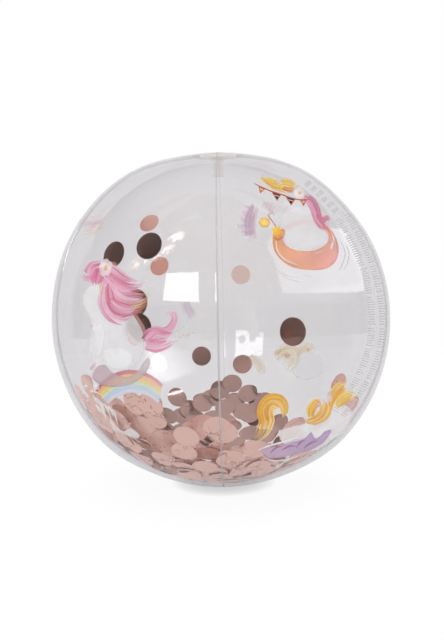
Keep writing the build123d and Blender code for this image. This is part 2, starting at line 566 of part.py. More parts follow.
def film_disc(azimuth, latitude, depth):
    # a disc parallel to the film, inside it
    polar_angle = 90 - latitude
    place = find_place(
        lambda point: math.degrees(math.atan2(point.X, point.Z)) < polar_angle, 0.0, 1.0)
    (radius, z), (normal_out, normal_z) = film_point(place, FILM_T + depth)
    turn = math.radians(azimuth)
    return loose_disc(radius * math.cos(turn), radius * math.sin(turn), z,
                      normal_out * math.cos(turn), normal_out * math.sin(turn), normal_z)


def make_confetti(make_disc, table):
    return Compound(children=[make_disc(*row) for row in table])


# -------------------------------------------------------------------- output
def write(name, shape):
    shape = shape.moved(Location((0, 0, CENTRE_Z)))
    shape.label = name
    export_step(shape, "parts/" + name + ".step")


os.makedirs("parts", exist_ok=True)

gore = make_gore()
for name, azimuth in GORES:
    write(name, gore.rotate(Axis.Z, azimuth))

write("top_pole_patch", make_patch(top=True, hole_r=VALVE_HOLE_R))
write("bottom_pole_patch", make_patch(top=False, hole_r=0.0))
write("valve_base", make_valve_base())
write("valve_stem", make_stem())
write("valve_plug", make_plug())
write("valve_tether", make_tether())
write("valve_check_flap", make_flap())

write("confetti_lower_layer", make_confetti(loose_disc, LOWER_LAYER))
write("confetti_upper_layer", make_confetti(loose_disc, UPPER_LAYER))
write("confetti_on_front_film", make_confetti(film_disc, FRONT_FILM))
write("confetti_on_back_film", make_confetti(film_disc, BACK_FILM))
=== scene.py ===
import json
import math
import random

import bmesh
import bpy
import numpy as np
from mathutils import Matrix, Vector
from mathutils.geometry import delaunay_2d_cdt


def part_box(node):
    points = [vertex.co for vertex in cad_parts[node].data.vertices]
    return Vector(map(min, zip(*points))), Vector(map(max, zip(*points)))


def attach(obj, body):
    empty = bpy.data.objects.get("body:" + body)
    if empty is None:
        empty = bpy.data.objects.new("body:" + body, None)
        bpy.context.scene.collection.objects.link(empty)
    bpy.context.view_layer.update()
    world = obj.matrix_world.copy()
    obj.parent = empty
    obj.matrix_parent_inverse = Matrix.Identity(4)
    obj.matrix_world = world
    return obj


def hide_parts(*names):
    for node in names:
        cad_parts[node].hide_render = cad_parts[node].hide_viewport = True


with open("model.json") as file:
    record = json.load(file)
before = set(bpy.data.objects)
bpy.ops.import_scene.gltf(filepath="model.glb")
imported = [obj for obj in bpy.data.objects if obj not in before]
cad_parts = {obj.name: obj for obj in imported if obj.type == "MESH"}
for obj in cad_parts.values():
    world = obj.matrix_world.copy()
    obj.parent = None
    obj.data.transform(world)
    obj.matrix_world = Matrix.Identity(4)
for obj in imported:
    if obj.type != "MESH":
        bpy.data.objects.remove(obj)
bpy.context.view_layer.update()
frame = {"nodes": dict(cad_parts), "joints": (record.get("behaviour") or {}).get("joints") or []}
SC = bpy.context.scene
MM = 0.001

# ------------------------------------------------------------------ the frame
CZ = next(j["pos_m"][2] for j in frame["joints"] if j["name"] == "confetti_side_slide")
g_lo, g_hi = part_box("gore_panel_front_right")
EQ = g_hi.x                                    # equator radius, metres
TOP_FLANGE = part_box("valve_base")[1].z         # top face of the valve flange
C0 = np.array([0.0, 0.0, CZ])

# outside profile of the film (mm, from the ball's centre), as in the CAD part
TOP_Z, BOT_Z = 198.6, -195.3
PTS = [(22.0, TOP_Z - 0.10), (30.0, TOP_Z - 0.95), (40.0, TOP_Z - 2.1)]
PTS += [(r * math.sin(math.radians(a)), r * math.cos(math.radians(a))) for a, r in
        [(20, 203.6), (30, 205.6), (45, 204.1), (60, 202.8), (75, 201.2), (90, 200.0),
         (105, 199.5), (120, 199.7), (135, 199.9), (148, 197.6), (160, 195.8)]]
PTS += [(50.6, -188.6), (40.0, -191.65), (30.0, -193.85), (22.0, -194.95)]
PTS = np.array(PTS)


def cubic(t, y, tq):
    # natural cubic spline through (t, y), read at tq
    n = len(t)
    h = np.diff(t)
    A = np.zeros((n, n))
    b = np.zeros(n)
    A[0, 0] = A[-1, -1] = 1
    for i in range(1, n - 1):
        A[i, i - 1], A[i, i], A[i, i + 1] = h[i - 1], 2 * (h[i - 1] + h[i]), h[i]
        b[i] = 3 * ((y[i + 1] - y[i]) / h[i] - (y[i] - y[i - 1]) / h[i - 1])
    c = np.linalg.solve(A, b)
    k = np.clip(np.searchsorted(t, tq) - 1, 0, n - 2)
    d = (c[k + 1] - c[k]) / (3 * h[k])
    bb = (y[k + 1] - y[k]) / h[k] - h[k] * (2 * c[k] + c[k + 1]) / 3
    s = tq - t[k]
    return y[k] + bb * s + c[k] * s * s + d * s ** 3


_t = np.r_[0, np.cumsum(np.linalg.norm(np.diff(PTS, axis=0), axis=1))]
_q = np.linspace(0, _t[-1], 900)
_x, _z = cubic(_t, PTS[:, 0], _q), cubic(_t, PTS[:, 1], _q)
_th = np.arctan2(_x, _z)
_rr = np.hypot(_x, _z)
_top = np.radians(np.linspace(0, 5.18, 20))
_bot = np.pi - np.radians(np.linspace(4.68, 0, 20))
TH = np.r_[_top, _th, _bot]
RR = np.r_[TOP_Z / np.cos(_top), _rr, -BOT_Z / np.cos(np.pi - _bot)]
TH_TOP, TH_BOT = _th[0], _th[-1]
SEAMS = np.radians([-90.0, 0.0, 90.0, 180.0])


def wrap(a):
    return (a + np.pi) % (2 * np.pi) - np.pi


def film_r(az, th, seam_detail=True):
    # outside radius (mm, from the ball's centre) of the inflated film
    az, th = np.asarray(az, float), np.asarray(th, float)
    r = np.interp(th, TH, RR)
    deg = np.degrees(th)
    ca = np.cos(az)
    # the ball leans a touch to one side at the shoulders
    r = r - 2.1 * ca * np.exp(-((deg - 47) / 24) ** 2) * np.clip((deg - 8) / 14, 0, 1)
    # between seams the film is flatter towards the poles
    q = np.sin(2 * (az - SEAMS[0])) ** 2
    r = r - q * (2.6 * np.exp(-((deg - 32) / 15) ** 2) + 0.8 * np.exp(-((deg - 147) / 12) ** 2))
    r = r - 0.4 * np.exp(-((deg - 20) / 7.5) ** 2)
    r = r - 1.3 * np.exp(-((deg - 10) / 4.0) ** 2) * np.clip(-np.sin(az), 0, 1)
    # long soft waves of a film that isn't perfectly tight
    fade = np.clip((deg - 12) / 20, 0, 1) * np.clip((166 - deg) / 20, 0, 1)
    w = (0.10 * np.sin(5 * az + 1.3 + 3.1 * th) + 0.08 * np.sin(9 * az - 2.0 + 6.3 * th)
         + 0.06 * np.sin(14.0 * th + 3 * az) + 0.05 * np.sin(17 * az + 9 * th + 0.7))
    r = r + w * fade
    if seam_detail:
        for k, s in enumerate(SEAMS):
            d = np.abs(wrap(az - s)) * 200.0 * np.maximum(np.sin(th), 0.05)   # mm from the seam
            arc = th * 200.0
            # puckers run out from the weld, longest near the poles
            amp = 0.16 + 0.14 * np.abs(np.cos(th)) ** 2
            ph = 1.7 * k
            pk = (np.sin(arc / 3.1 + ph + 0.8 * np.sin(arc / 17.0 + ph))
                  * (0.55 + 0.45 * np.sin(arc / 23.0 + 2.1 * ph))
                  + 0.6 * np.sin(arc / 7.3 + 2.3 * ph) * np.sin(arc / 41.0 + ph))
            r = r + amp * pk * np.exp(-(d / 7.5) ** 1.3) * fade
            # the weld stands as a slight ridge in a shallow trough
            r = r + (0.30 * np.exp(-(d / 1.9) ** 2) - 0.22 * np.exp(-(d / 6.0) ** 2)) * fade
            r = r + 0.09 * (1 / (1 + np.exp(np.clip((d - 5.6) / 0.22, -60, 60)))) * fade
    return r


def film_p(az, th, off=0.0, detail=True):
    # points (metres, row frame) at off mm outside the film
    r = (film_r(az, th, detail) + off) * MM
    return np.stack([r * np.sin(th) * np.cos(az), r * np.sin(th) * np.sin(az),
                     r * np.cos(th) + CZ], -1)


# ------------------------------------------------------------- mesh utilities
def new_mesh(name, verts, faces, smooth=True):
    me = bpy.data.meshes.new(name)
    me.from_pydata([tuple(map(float, v)) for v in verts], [], faces)
    me.validate()
    if smooth:
        me.polygons.foreach_set("use_smooth", [True] * len(me.polygons))
    me.update()
    ob = bpy.data.objects.new(name, me)
    SC.collection.objects.link(ob)
    return ob


def point_attr(ob, name, values):
    at = ob.data.attributes.new(name, "FLOAT", "POINT")
    at.data.foreach_set("value", np.asarray(values, np.float32))


def color_attr(ob, name, rgba):
    at = ob.data.color_attributes.new(name, "FLOAT_COLOR", "POINT")
    at.data.foreach_set("color", np.asarray(rgba, np.float32).ravel())


def lin(c):
    c = np.asarray(c, float) / 255.0
    return np.where(c <= 0.04045, c / 12.92, ((c + 0.055) / 1.055) ** 2.4)


# ----------------------------------------------------------------- node helper
class Nodes:
    def __init__(self, nt):
        self.nt = nt

    def n(self, kind, **kw):
        node = self.nt.nodes.new(kind)
        for k, v in kw.items():
            setattr(node, k, v)
        return node

    def put(self, sock, v):
        if isinstance(v, bpy.types.NodeSocket):
            self.nt.links.new(v, sock)
        elif v is not None:
            sock.default_value = v

    def m(self, op, a, b=None, c=None, clamp=False):
        node = self.n("ShaderNodeMath", operation=op, use_clamp=clamp)
        for i, v in enumerate((a, b, c)):
            if v is not None:
                self.put(node.inputs[i], v)
        return node.outputs[0]

    def v(self, op, a, b=None, out=0):
        node = self.n("ShaderNodeVectorMath", operation=op)
        self.put(node.inputs[0], a)
        if b is not None:
            self.put(node.inputs[1], b)
        return node.outputs[out]

    def mix(self, f, a, b, kind="RGBA", blend="MIX"):
        node = self.n("ShaderNodeMix", data_type=kind)
        if kind == "RGBA":
            node.blend_type = blend
            i, j, o = 6, 7, 2
        else:
            i, j, o = 2, 3, 0
        self.put(node.inputs[0], f)
        self.put(node.inputs[i], a)
        self.put(node.inputs[j], b)
        return node.outputs[o]

    def ramp(self, f, stops):
        node = self.n("ShaderNodeValToRGB")
        cr = node.color_ramp
        while len(cr.elements) > 1:
            cr.elements.remove(cr.elements[0])
        cr.elements[0].position, cr.elements[0].color = stops[0]
        for p, c in stops[1:]:
            e = cr.elements.new(p)
            e.color = c
        self.put(node.inputs[0], f)
        return node.outputs[0]

    def noise(self, vec, scale, detail=2.0, rough=0.5, out=0):
        node = self.n("ShaderNodeTexNoise")
        self.put(node.inputs["Vector"], vec)
        node.inputs["Scale"].default_value = scale
        node.inputs["Detail"].default_value = detail
        node.inputs["Roughness"].default_value = rough
        return node.outputs[out]

    def step(self, x, lo, hi):
        # 0 below lo, 1 above hi
        node = self.n("ShaderNodeMapRange", interpolation_type="SMOOTHSTEP")
        self.put(node.inputs[0], x)
        node.inputs[1].default_value = lo
        node.inputs[2].default_value = hi
        return node.outputs[0]


def material(name):
    mat = bpy.data.materials.new(name)
    mat.use_nodes = True
    mat.node_tree.nodes.clear()
    N = Nodes(mat.node_tree)
    out = N.n("ShaderNodeOutputMaterial")
    return mat, N, out


# ------------------------------------------------------------------ materials
def film_material(name, tint=(0.868, 0.857, 0.866), f0=0.075, extra=1.0):
    mat, N, out = material(name)
    geo = N.n("ShaderNodeNewGeometry")
    tc = N.n("ShaderNodeTexCoord")
    seam = N.n("ShaderNodeAttribute", attribute_name="seam").outputs["Fac"]
    fin = N.n("ShaderNodeAttribute", attribute_name="fin").outputs["Fac"]
    # fine surface: calender lines and a soft unevenness
    n1 = N.noise(tc.outputs["Object"], 55.0, 3.0, 0.55)
    n2 = N.noise(tc.outputs["Object"], 9.0, 2.0, 0.5)
    hgt = N.m("ADD", N.m("MULTIPLY", n1, 0.22), N.m("MULTIPLY", n2, 1.0))
    bump = N.n("ShaderNodeBump")
    bump.inputs["Strength"].default_value = 0.06
    bump.inputs["Distance"].default_value = 0.004
    N.put(bump.inputs["Height"], hgt)
    dot = N.v("DOT_PRODUCT", geo.outputs["Incoming"], geo.outputs["Normal"], out=1)
    c = N.m("MAXIMUM", N.m("ABSOLUTE", dot), 0.02)
    # light crossing the film at a slant meets more of it
    back = geo.outputs["Backfacing"]
    inv = N.m("MINIMUM", N.m("MULTIPLY", 0.5 * extra, N.m("POWER", c, -0.45)), 1.0)
    comb = N.n("ShaderNodeCombineColor")
    for i, t in enumerate(tint):
        e = N.m("MULTIPLY", N.m("ADD", inv, N.m("MULTIPLY", seam, 0.12)), N.m("SUBTRACT", 1.0, N.m("MULTIPLY", fin, 0.8)))
        N.put(comb.inputs[i], N.m("POWER", t, e))
    tr = N.n("ShaderNodeBsdfTransparent")
    N.put(tr.inputs["Color"], comb.outputs[0])
    gl = N.n("ShaderNodeBsdfGlossy")
    rough = N.m("ADD", 0.02, N.m("MULTIPLY", N.noise(tc.outputs["Object"], 4.0, 2.0), 0.03))
    N.put(gl.inputs["Roughness"], rough)
    N.put(gl.inputs["Normal"], bump.outputs[0])
    gl.inputs["Color"].default_value = (0.98, 0.98, 1.0, 1)
    # Schlick's law for both faces together, met once on the way through
    om = N.m("SUBTRACT", 1.0, c)
    p5 = N.m("POWER", om, 4.6)
    fr = N.m("ADD", f0, N.m("MULTIPLY", p5, 0.66))
    fr = N.m("MULTIPLY", fr, N.m("SUBTRACT", 1.0, back))
    fr = N.m("MULTIPLY", fr, N.m("SUBTRACT", 1.0, N.m("MULTIPLY", fin, 0.94)))
    mx = N.n("ShaderNodeMixShader")
    N.put(mx.inputs[0], fr)
    N.put(mx.inputs[1], tr.outputs[0])
    N.put(mx.inputs[2], gl.outputs[0])
    # the weld itself is frosted and scatters a little light
    df = N.n("ShaderNodeBsdfDiffuse")
    df.inputs["Color"].default_value = (0.56, 0.555, 0.565, 1)
    tl = N.n("ShaderNodeBsdfTranslucent")
    tl.inputs["Color"].default_value = (0.56, 0.555, 0.565, 1)
    m2 = N.n("ShaderNodeMixShader")
    m2.inputs[0].default_value = 0.5
    N.put(m2.inputs[1], df.outputs[0])
    N.put(m2.inputs[2], tl.outputs[0])
    m3 = N.n("ShaderNodeMixShader")
    streak = N.noise(tc.outputs["Object"], 90.0, 2.0, 0.5)
    frost = N.m("MULTIPLY", seam, N.m("ADD", 0.45, N.m("MULTIPLY", streak, 0.45)))
    N.put(m3.inputs[0], N.m("MULTIPLY", frost, N.m("SUBTRACT", 1.0, N.m("MULTIPLY", back, 0.75))))
    N.put(m3.inputs[1], mx.outputs[0])
    N.put(m3.inputs[2], m2.outputs[0])
    N.put(out.inputs["Surface"], m3.outputs[0])
    return mat


def ink_material():
    mat, N, out = material("ink_print")
    geo = N.n("ShaderNodeNewGeometry")
    tc = N.n("ShaderNodeTexCoord")
    col = N.n("ShaderNodeAttribute", attribute_name="ink")
    nz = N.noise(tc.outputs["Object"], 60.0, 3.0, 0.6)
    nf = N.noise(tc.outputs["Object"], 420.0, 2.0, 0.5)
    # watercolour pooling
    wash = N.m("ADD", 0.86, N.m("MULTIPLY", nz, 0.26))
    grain = N.m("ADD", 0.97, N.m("MULTIPLY", nf, 0.06))
    k = N.m("MULTIPLY", wash, grain)
    shade = N.v("MULTIPLY", col.outputs["Color"], (1, 1, 1))
    sc = N.n("ShaderNodeVectorMath", operation="SCALE")
    N.put(sc.inputs[0], shade)
    N.put(sc.inputs["Scale"], k)
    # from inside, the white under-print shows
    under = N.n("ShaderNodeAttribute", attribute_name="under").outputs["Fac"]
    back = geo.outputs["Backfacing"]
    pale = N.mix(N.m("MULTIPLY", back, 0.45), sc.outputs[0], (0.95, 0.94, 0.95, 1))
    bs = N.n("ShaderNodeBsdfPrincipled")
    N.put(bs.inputs["Base Color"], pale)
    bs.inputs["Roughness"].default_value = 0.22
    bs.inputs["Specular IOR Level"].default_value = 0.35
    tl = N.n("ShaderNodeBsdfTranslucent")
    N.put(tl.inputs["Color"], pale)
    m1 = N.n("ShaderNodeMixShader")
    N.put(m1.inputs[0], N.m("ADD", 0.42, N.m("MULTIPLY", back, 0.50)))
    N.put(m1.inputs[1], bs.outputs[0])
    N.put(m1.inputs[2], tl.outputs[0])
    tr = N.n("ShaderNodeBsdfTransparent")
    mx = N.n("ShaderNodeMixShader")
    a1 = N.m("MULTIPLY", col.outputs["Alpha"], N.m("SUBTRACT", 1.0, under))
    N.put(mx.inputs[0], N.m("MULTIPLY", a1, N.m("SUBTRACT", 1.0, N.m("MULTIPLY", back, 0.25))))
    N.put(mx.inputs[1], tr.outputs[0])
    N.put(mx.inputs[2], m1.outputs[0])
    N.put(out.inputs["Surface"], mx.outputs[0])
    return mat


def foil_material():
    mat, N, out = material("rose_gold_foil")
    tc = N.n("ShaderNodeTexCoord")
    tone = N.n("ShaderNodeAttribute", attribute_name="tone").outputs["Fac"]
    edge = N.n("ShaderNodeAttribute", attribute_name="edge").outputs["Fac"]
    n1 = N.noise(tc.outputs["Object"], 130.0, 3.0, 0.55)
    n2 = N.noise(tc.outputs["Object"], 900.0, 2.0, 0.5)
    n3 = N.noise(tc.outputs["Object"], 26.0, 2.0, 0.5)
    a = (0.90, 0.545, 0.455, 1)
    b = (0.82, 0.485, 0.405, 1)
    base = N.mix(N.m("ADD", N.m("MULTIPLY", tone, 0.6), N.m("MULTIPLY", n3, 0.4)), a, b)
    # painted shade: every disc's rim is darker, for the gaps between overlapping discs
    base = N.mix(N.m("MULTIPLY", edge, 0.35), base, (0.55, 0.27, 0.20, 1))
    # a tone above 1 marks the far discs of the heap, painted darker as shade
    base = N.mix(N.step(tone, 1.1, 1.9), base, (0.60, 0.375, 0.325, 1))
    bump = N.n("ShaderNodeBump")
    bump.inputs["Strength"].default_value = 0.16
    bump.inputs["Distance"].default_value = 0.0007
    N.put(bump.inputs["Height"], N.m("ADD", n1, N.m("MULTIPLY", n2, 0.18)))
    bs = N.n("ShaderNodeBsdfPrincipled")
    N.put(bs.inputs["Base Color"], base)
    bs.inputs["Metallic"].default_value = 1.0
    N.put(bs.inputs["Roughness"], N.m("ADD", 0.15, N.m("MULTIPLY", n1, 0.14)))
    N.put(bs.inputs["Normal"], bump.outputs[0])
    # crushed discs scatter part of the light
    crush = N.n("ShaderNodeAttribute", attribute_name="crush").outputs["Fac"]
    sc = N.n("ShaderNodeBsdfDiffuse")
    # with fine dark creases here and there and a darker rim: painted shade in the creases and in the gaps between discs
    n4 = N.noise(tc.outputs["Object"], 62.0, 3.0, 0.55)
    n5 = N.noise(tc.outputs["Object"], 24.0, 1.0, 0.5)
    line = N.m("SUBTRACT", 1.0, N.step(N.m("ABSOLUTE", N.m("SUBTRACT", n4, 0.5)), 0.005, 0.021))
    line = N.m("MULTIPLY", N.m("MULTIPLY", line, N.step(n5, 0.42, 0.54)), N.step(crush, 0.25, 0.5))
    mark = N.m("MAXIMUM", N.m("MULTIPLY", line, 0.85), N.m("MULTIPLY", edge, 0.40))
    # the matte colour; the one fully matte disc gets a lighter tint, a painted reflection of the bright floor
    matte_tint_and_painted_light = N.mix(N.step(crush, 0.85, 0.95), (0.97, 0.665, 0.585, 1), (1.0, 0.79, 0.71, 1))
    mark = N.m("MULTIPLY", mark, N.m("SUBTRACT", 1.0, N.step(crush, 0.85, 0.95)))
    N.put(sc.inputs["Color"], N.mix(mark, matte_tint_and_painted_light, (0.30, 0.19, 0.17, 1)))
    N.put(sc.inputs["Normal"], bump.outputs[0])
    mx = N.n("ShaderNodeMixShader")
    N.put(mx.inputs[0], crush)
    N.put(mx.inputs[1], bs.outputs[0])
    N.put(mx.inputs[2], sc.outputs[0])
    N.put(out.inputs["Surface"], mx.outputs[0])
    return mat


def vinyl_material(name, col=(0.62, 0.57, 0.50)):
    mat, N, out = material(name)
    tc = N.n("ShaderNodeTexCoord")
    geo = N.n("ShaderNodeNewGeometry")
    nz = N.noise(tc.outputs["Object"], 180.0, 3.0, 0.5)
    nl = N.noise(tc.outputs["Object"], 40.0, 2.0, 0.5)
    base = N.mix(nl, (*[x * 0.92 for x in col], 1), (*[min(1, x * 1.08) for x in col], 1))
    bump = N.n("ShaderNodeBump")
    bump.inputs["Strength"].default_value = 0.12
    bump.inputs["Distance"].default_value = 0.0004
    N.put(bump.inputs["Height"], nz)
    bs = N.n("ShaderNodeBsdfPrincipled")
    N.put(bs.inputs["Base Color"], base)
    N.put(bs.inputs["Roughness"], N.m("ADD", 0.22, N.m("MULTIPLY", nz, 0.15)))
    N.put(bs.inputs["Normal"], bump.outputs[0])
    tr = N.n("ShaderNodeBsdfTransparent")
    tr.inputs["Color"].default_value = (0.988, 0.980, 0.968, 1)
    dot = N.v("DOT_PRODUCT", geo.outputs["Incoming"], geo.outputs["Normal"], out=1)
    om = N.m("SUBTRACT", 1.0, N.m("ABSOLUTE", dot))
    f = N.m("ADD", 0.024, N.m("MULTIPLY", N.m("POWER", om, 3.0), 0.10))
    mx = N.n("ShaderNodeMixShader")
    N.put(mx.inputs[0], f)
    N.put(mx.inputs[1], tr.outputs[0])
    N.put(mx.inputs[2], bs.outputs[0])
    N.put(out.inputs["Surface"], mx.outputs[0])
    return mat


FILM = film_material("clear_pvc_film")
PATCHM = film_material("clear_pvc_patch", tint=(0.90, 0.89, 0.90), f0=0.075)
INK = ink_material()
FOIL = foil_material()
VINYL = vinyl_material("soft_vinyl")


# ----------------------------------------------------------------- film gores
FILM_T = 0.25


def gore_piece(name, node, a0):
    # closed thin shell between two seams, with its inward weld fins
    gap = math.radians(0.006)
    a1 = a0 + math.pi / 2 - gap
    a0 = a0 + gap
    # columns crowd towards the seams
    d = np.array([0, 0.7, 1.4, 2.2, 3.0, 4.0, 5.0, 5.4, 5.8, 6.3, 7.5, 9.5, 12, 15, 19, 24, 30])
    side = d / 200.0
    mid = np.linspace(side[-1], math.pi / 2 - 2 * gap - side[-1], 46)[1:-1]
    col = np.r_[side, mid, math.pi / 2 - 2 * gap - side[::-1]]
    az = a0 + col / col[-1] * (a1 - a0)
    th = np.r_[np.linspace(TH_TOP, 0.35, 14)[:-1], np.linspace(0.35, math.pi - 0.35, 250),
               np.linspace(math.pi - 0.35, TH_BOT, 14)[1:]]
    nu, nv = len(az), len(th)
    verts, seam, rings, fins = [], [], [], []
    fin = 2.3
    for t in th:
        s = max(math.sin(t), 0.05)
        da = FILM_T / 200.0 / s
        azi = np.clip(az, az[0] + da, az[-1] - da)
        outer = film_p(az, np.full(nu, t))
        inner = film_p(azi, np.full(nu, t), -FILM_T)
        r1, r0 = film_r(az[-1], t), film_r(az[0], t)
        f1 = film_p(np.array([az[-1], azi[-1]]), np.array([t, t]), -FILM_T - fin)
        f0 = film_p(np.array([azi[0], az[0]]), np.array([t, t]), -FILM_T - fin)
        ring = np.vstack([outer, f1, inner[::-1], f0])
        rings.append(len(verts))
        verts.extend(ring)
        dd = np.minimum(np.abs(az - az[0]), np.abs(az[-1] - az)) * 200 * s
        # the front weld shows most, the back one evenly, the side ones mostly low down; the front and side welds are
        # frostier in the lower half, a painted highlight for the light they catch from the floor below, and all are
        # wider there
        low = 0.5 + 0.5 * math.tanh((math.degrees(t) - 84.0) / 8.0)
        kk = [1.0 + 0.5 * low if abs(math.sin(a) + 1) < 0.01 else 0.45 if abs(math.sin(a) - 1) < 0.01 else 0.12 + 0.30 * low
              for a in (az[0], az[-1])]
        near_first = np.abs(az - az[0]) < np.abs(az[-1] - az)
        w = np.exp(-(dd / (0.55 + 0.15 * low)) ** 2) * np.where(near_first, kk[0], kk[1])
        seam.extend(np.r_[w, [0.15, 0.15], w[::-1] * 0.3, [0.15, 0.15]])
        fins.extend(np.r_[w * 0, [1, 1], w * 0, [1, 1]])
    m = 2 * nu + 4
    faces = []
    for j in range(nv - 1):
        A, B = rings[j], rings[j + 1]
        for i in range(m):
            k = (i + 1) % m
            faces.append((A + i, B + i, B + k, A + k))
    for j, flip in ((0, False), (nv - 1, True)):
        A = rings[j]
        for i in range(nu - 1):
            q = (A + i, A + i + 1, A + m - 3 - (i + 1), A + m - 3 - i)
            faces.append(q if not flip else q[::-1])
        o_last, i_first = A + nu - 1, A + nu + 2
        q = (o_last, A + nu, A + nu + 1, i_first)
        faces.append(q if not flip else q[::-1])
        q = (A + m - 3, A + m - 2, A + m - 1, A)
        faces.append(q if not flip else q[::-1])
    ob = new_mesh(name, verts, faces)
    bm = bmesh.new()
    bm.from_mesh(ob.data)
    bmesh.ops.recalc_face_normals(bm, faces=bm.faces)
    for e in bm.edges:
        if len(e.link_faces) == 2 and e.calc_face_angle(0) > math.radians(45):
            e.smooth = False
    bm.to_mesh(ob.data)
    bm.free()
    point_attr(ob, "seam", seam)
    point_attr(ob, "fin", fins)
    ob.data.materials.append(FILM)
    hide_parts(node)
    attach(ob, "ball_skin")
    return ob


for nm, a0 in (("front_right", -90), ("back_right", 0), ("back_left", 90), ("front_left", 180)):
    gore_piece("film_gore_" + nm, "gore_panel_" + nm, math.radians(a0))


# --------------------------------------------------------------- pole patches
def patch_piece(name, node, top):
    lo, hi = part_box(node)
    R = hi.x * 1000
    r0 = 8.6 if top else 0.0
    rs = np.r_[np.linspace(r0, 18, 8), np.linspace(19, R - 1.5, 10), [R - 0.8, R - 0.3, R]]
    n = 96
    zc = []
    verts, faces, seam = [], [], []
    az = np.linspace(0, 2 * np.pi, n, endpoint=False)

    def ring(r, off):
        # height of the film below this radius, then off mm proud of it
        th = np.full(n, 0.0)
        if r < 0.01:
            r = 0.01
        lo_t, hi_t = (0.0, 0.3) if top else (math.pi - 0.3, math.pi)
        tt = np.linspace(lo_t, hi_t, 400)
        rad = np.interp(tt, TH, RR) * np.sin(tt)
        th0 = np.interp(r, rad, tt) if top else np.interp(r, rad[::-1], tt[::-1])
        p = film_p(az, np.full(n, th0), off)
        # a little pucker round the weld line of the patch
        pk = 0.10 * np.sin(az * 23 + r) * math.exp(-((r - 25.5) / 3.0) ** 2)
        p[:, 2] += pk * MM * (1 if top else 0)
        if not top and r <= 16.01:
            p[:, 2] = lo.z + (0 if off > 0.1 else FILM_T * MM)
        return p

    order = [(r, 0.27) for r in rs] + [(r, 0.02) for r in rs[::-1]]
    if not top:
        order = order[1:-1]
    starts = []
    for r, off in order:
        starts.append(len(verts))
        verts.extend(ring(r, off))
        seam.extend([0.25 if r > R - 1.0 else 0.0] * n)
    L = len(order)
    for a in range(L - 1 if not top else L):
        A, B = starts[a], starts[(a + 1) % L]
        for i in range(n):
            k = (i + 1) % n
            faces.append((A + i, B + i, B + k, A + k))
    if not top:
        c1, c2 = len(verts), len(verts) + 1
        verts.append((0, 0, lo.z))
        verts.append((0, 0, lo.z + FILM_T * MM))
        seam += [0, 0]
        for i in range(n):
            k = (i + 1) % n
            faces.append((c1, starts[0] + i, starts[0] + k))
            faces.append((c2, starts[-1] + k, starts[-1] + i))
    ob = new_mesh(name, verts, faces)
    bm = bmesh.new()
    bm.from_mesh(ob.data)
    bmesh.ops.recalc_face_normals(bm, faces=bm.faces)
    bm.to_mesh(ob.data)
    bm.free()
    point_attr(ob, "seam", seam)
    ob.data.materials.append(PATCHM)
    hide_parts(node)
    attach(ob, "ball_skin")
    return ob


patch_piece("film_patch_top", "top_pole_patch", True)
patch_piece("film_patch_bottom", "bottom_pole_patch", False)

# ---------------------------------------------------------------------- valve
for n in ("valve_base", "valve_stem", "valve_plug", "valve_tether", "valve_check_flap"):
    o = frame["nodes"][n]
    o.data.materials.clear()
    o.data.materials.append(VINYL)


# ------------------------------------------------------------------- confetti
def loose_discs(node):
    # centre and unit normal (metres) of each separate disc in a CAD node
    me = frame["nodes"][node].data
    co = np.array([v.co for v in me.vertices])
    key = {}
    idx = np.zeros(len(co), int)
    for i, c in enumerate(np.round(co / 2e-6).astype(int)):
        idx[i] = key.setdefault(tuple(c), len(key))
    parent = list(range(len(key)))

    def root(a):
        while parent[a] != a:
            parent[a] = parent[parent[a]]
            a = parent[a]
        return a
    for p in me.polygons:
        vs = [root(idx[v]) for v in p.vertices]
        for v in vs[1:]:
            parent[root(v)] = root(vs[0])
    groups = {}
    pts = np.zeros((len(key), 3))
    for k, i in key.items():
        pts[i] = np.array(k) * 2e-6
    for i in range(len(key)):
        groups.setdefault(root(i), []).append(i)
    out = []
    for g in sorted(groups.values(), key=lambda g: tuple(np.round(pts[g].mean(0), 5))):
        P = pts[g]
        c = (P.min(0) + P.max(0)) / 2
        w, V = np.linalg.eigh(np.cov((P - P.mean(0)).T))
        nrm = V[:, 0]
        if nrm @ (c - C0) < 0:
            nrm = -nrm
        out.append((P.mean(0), nrm))
    return out


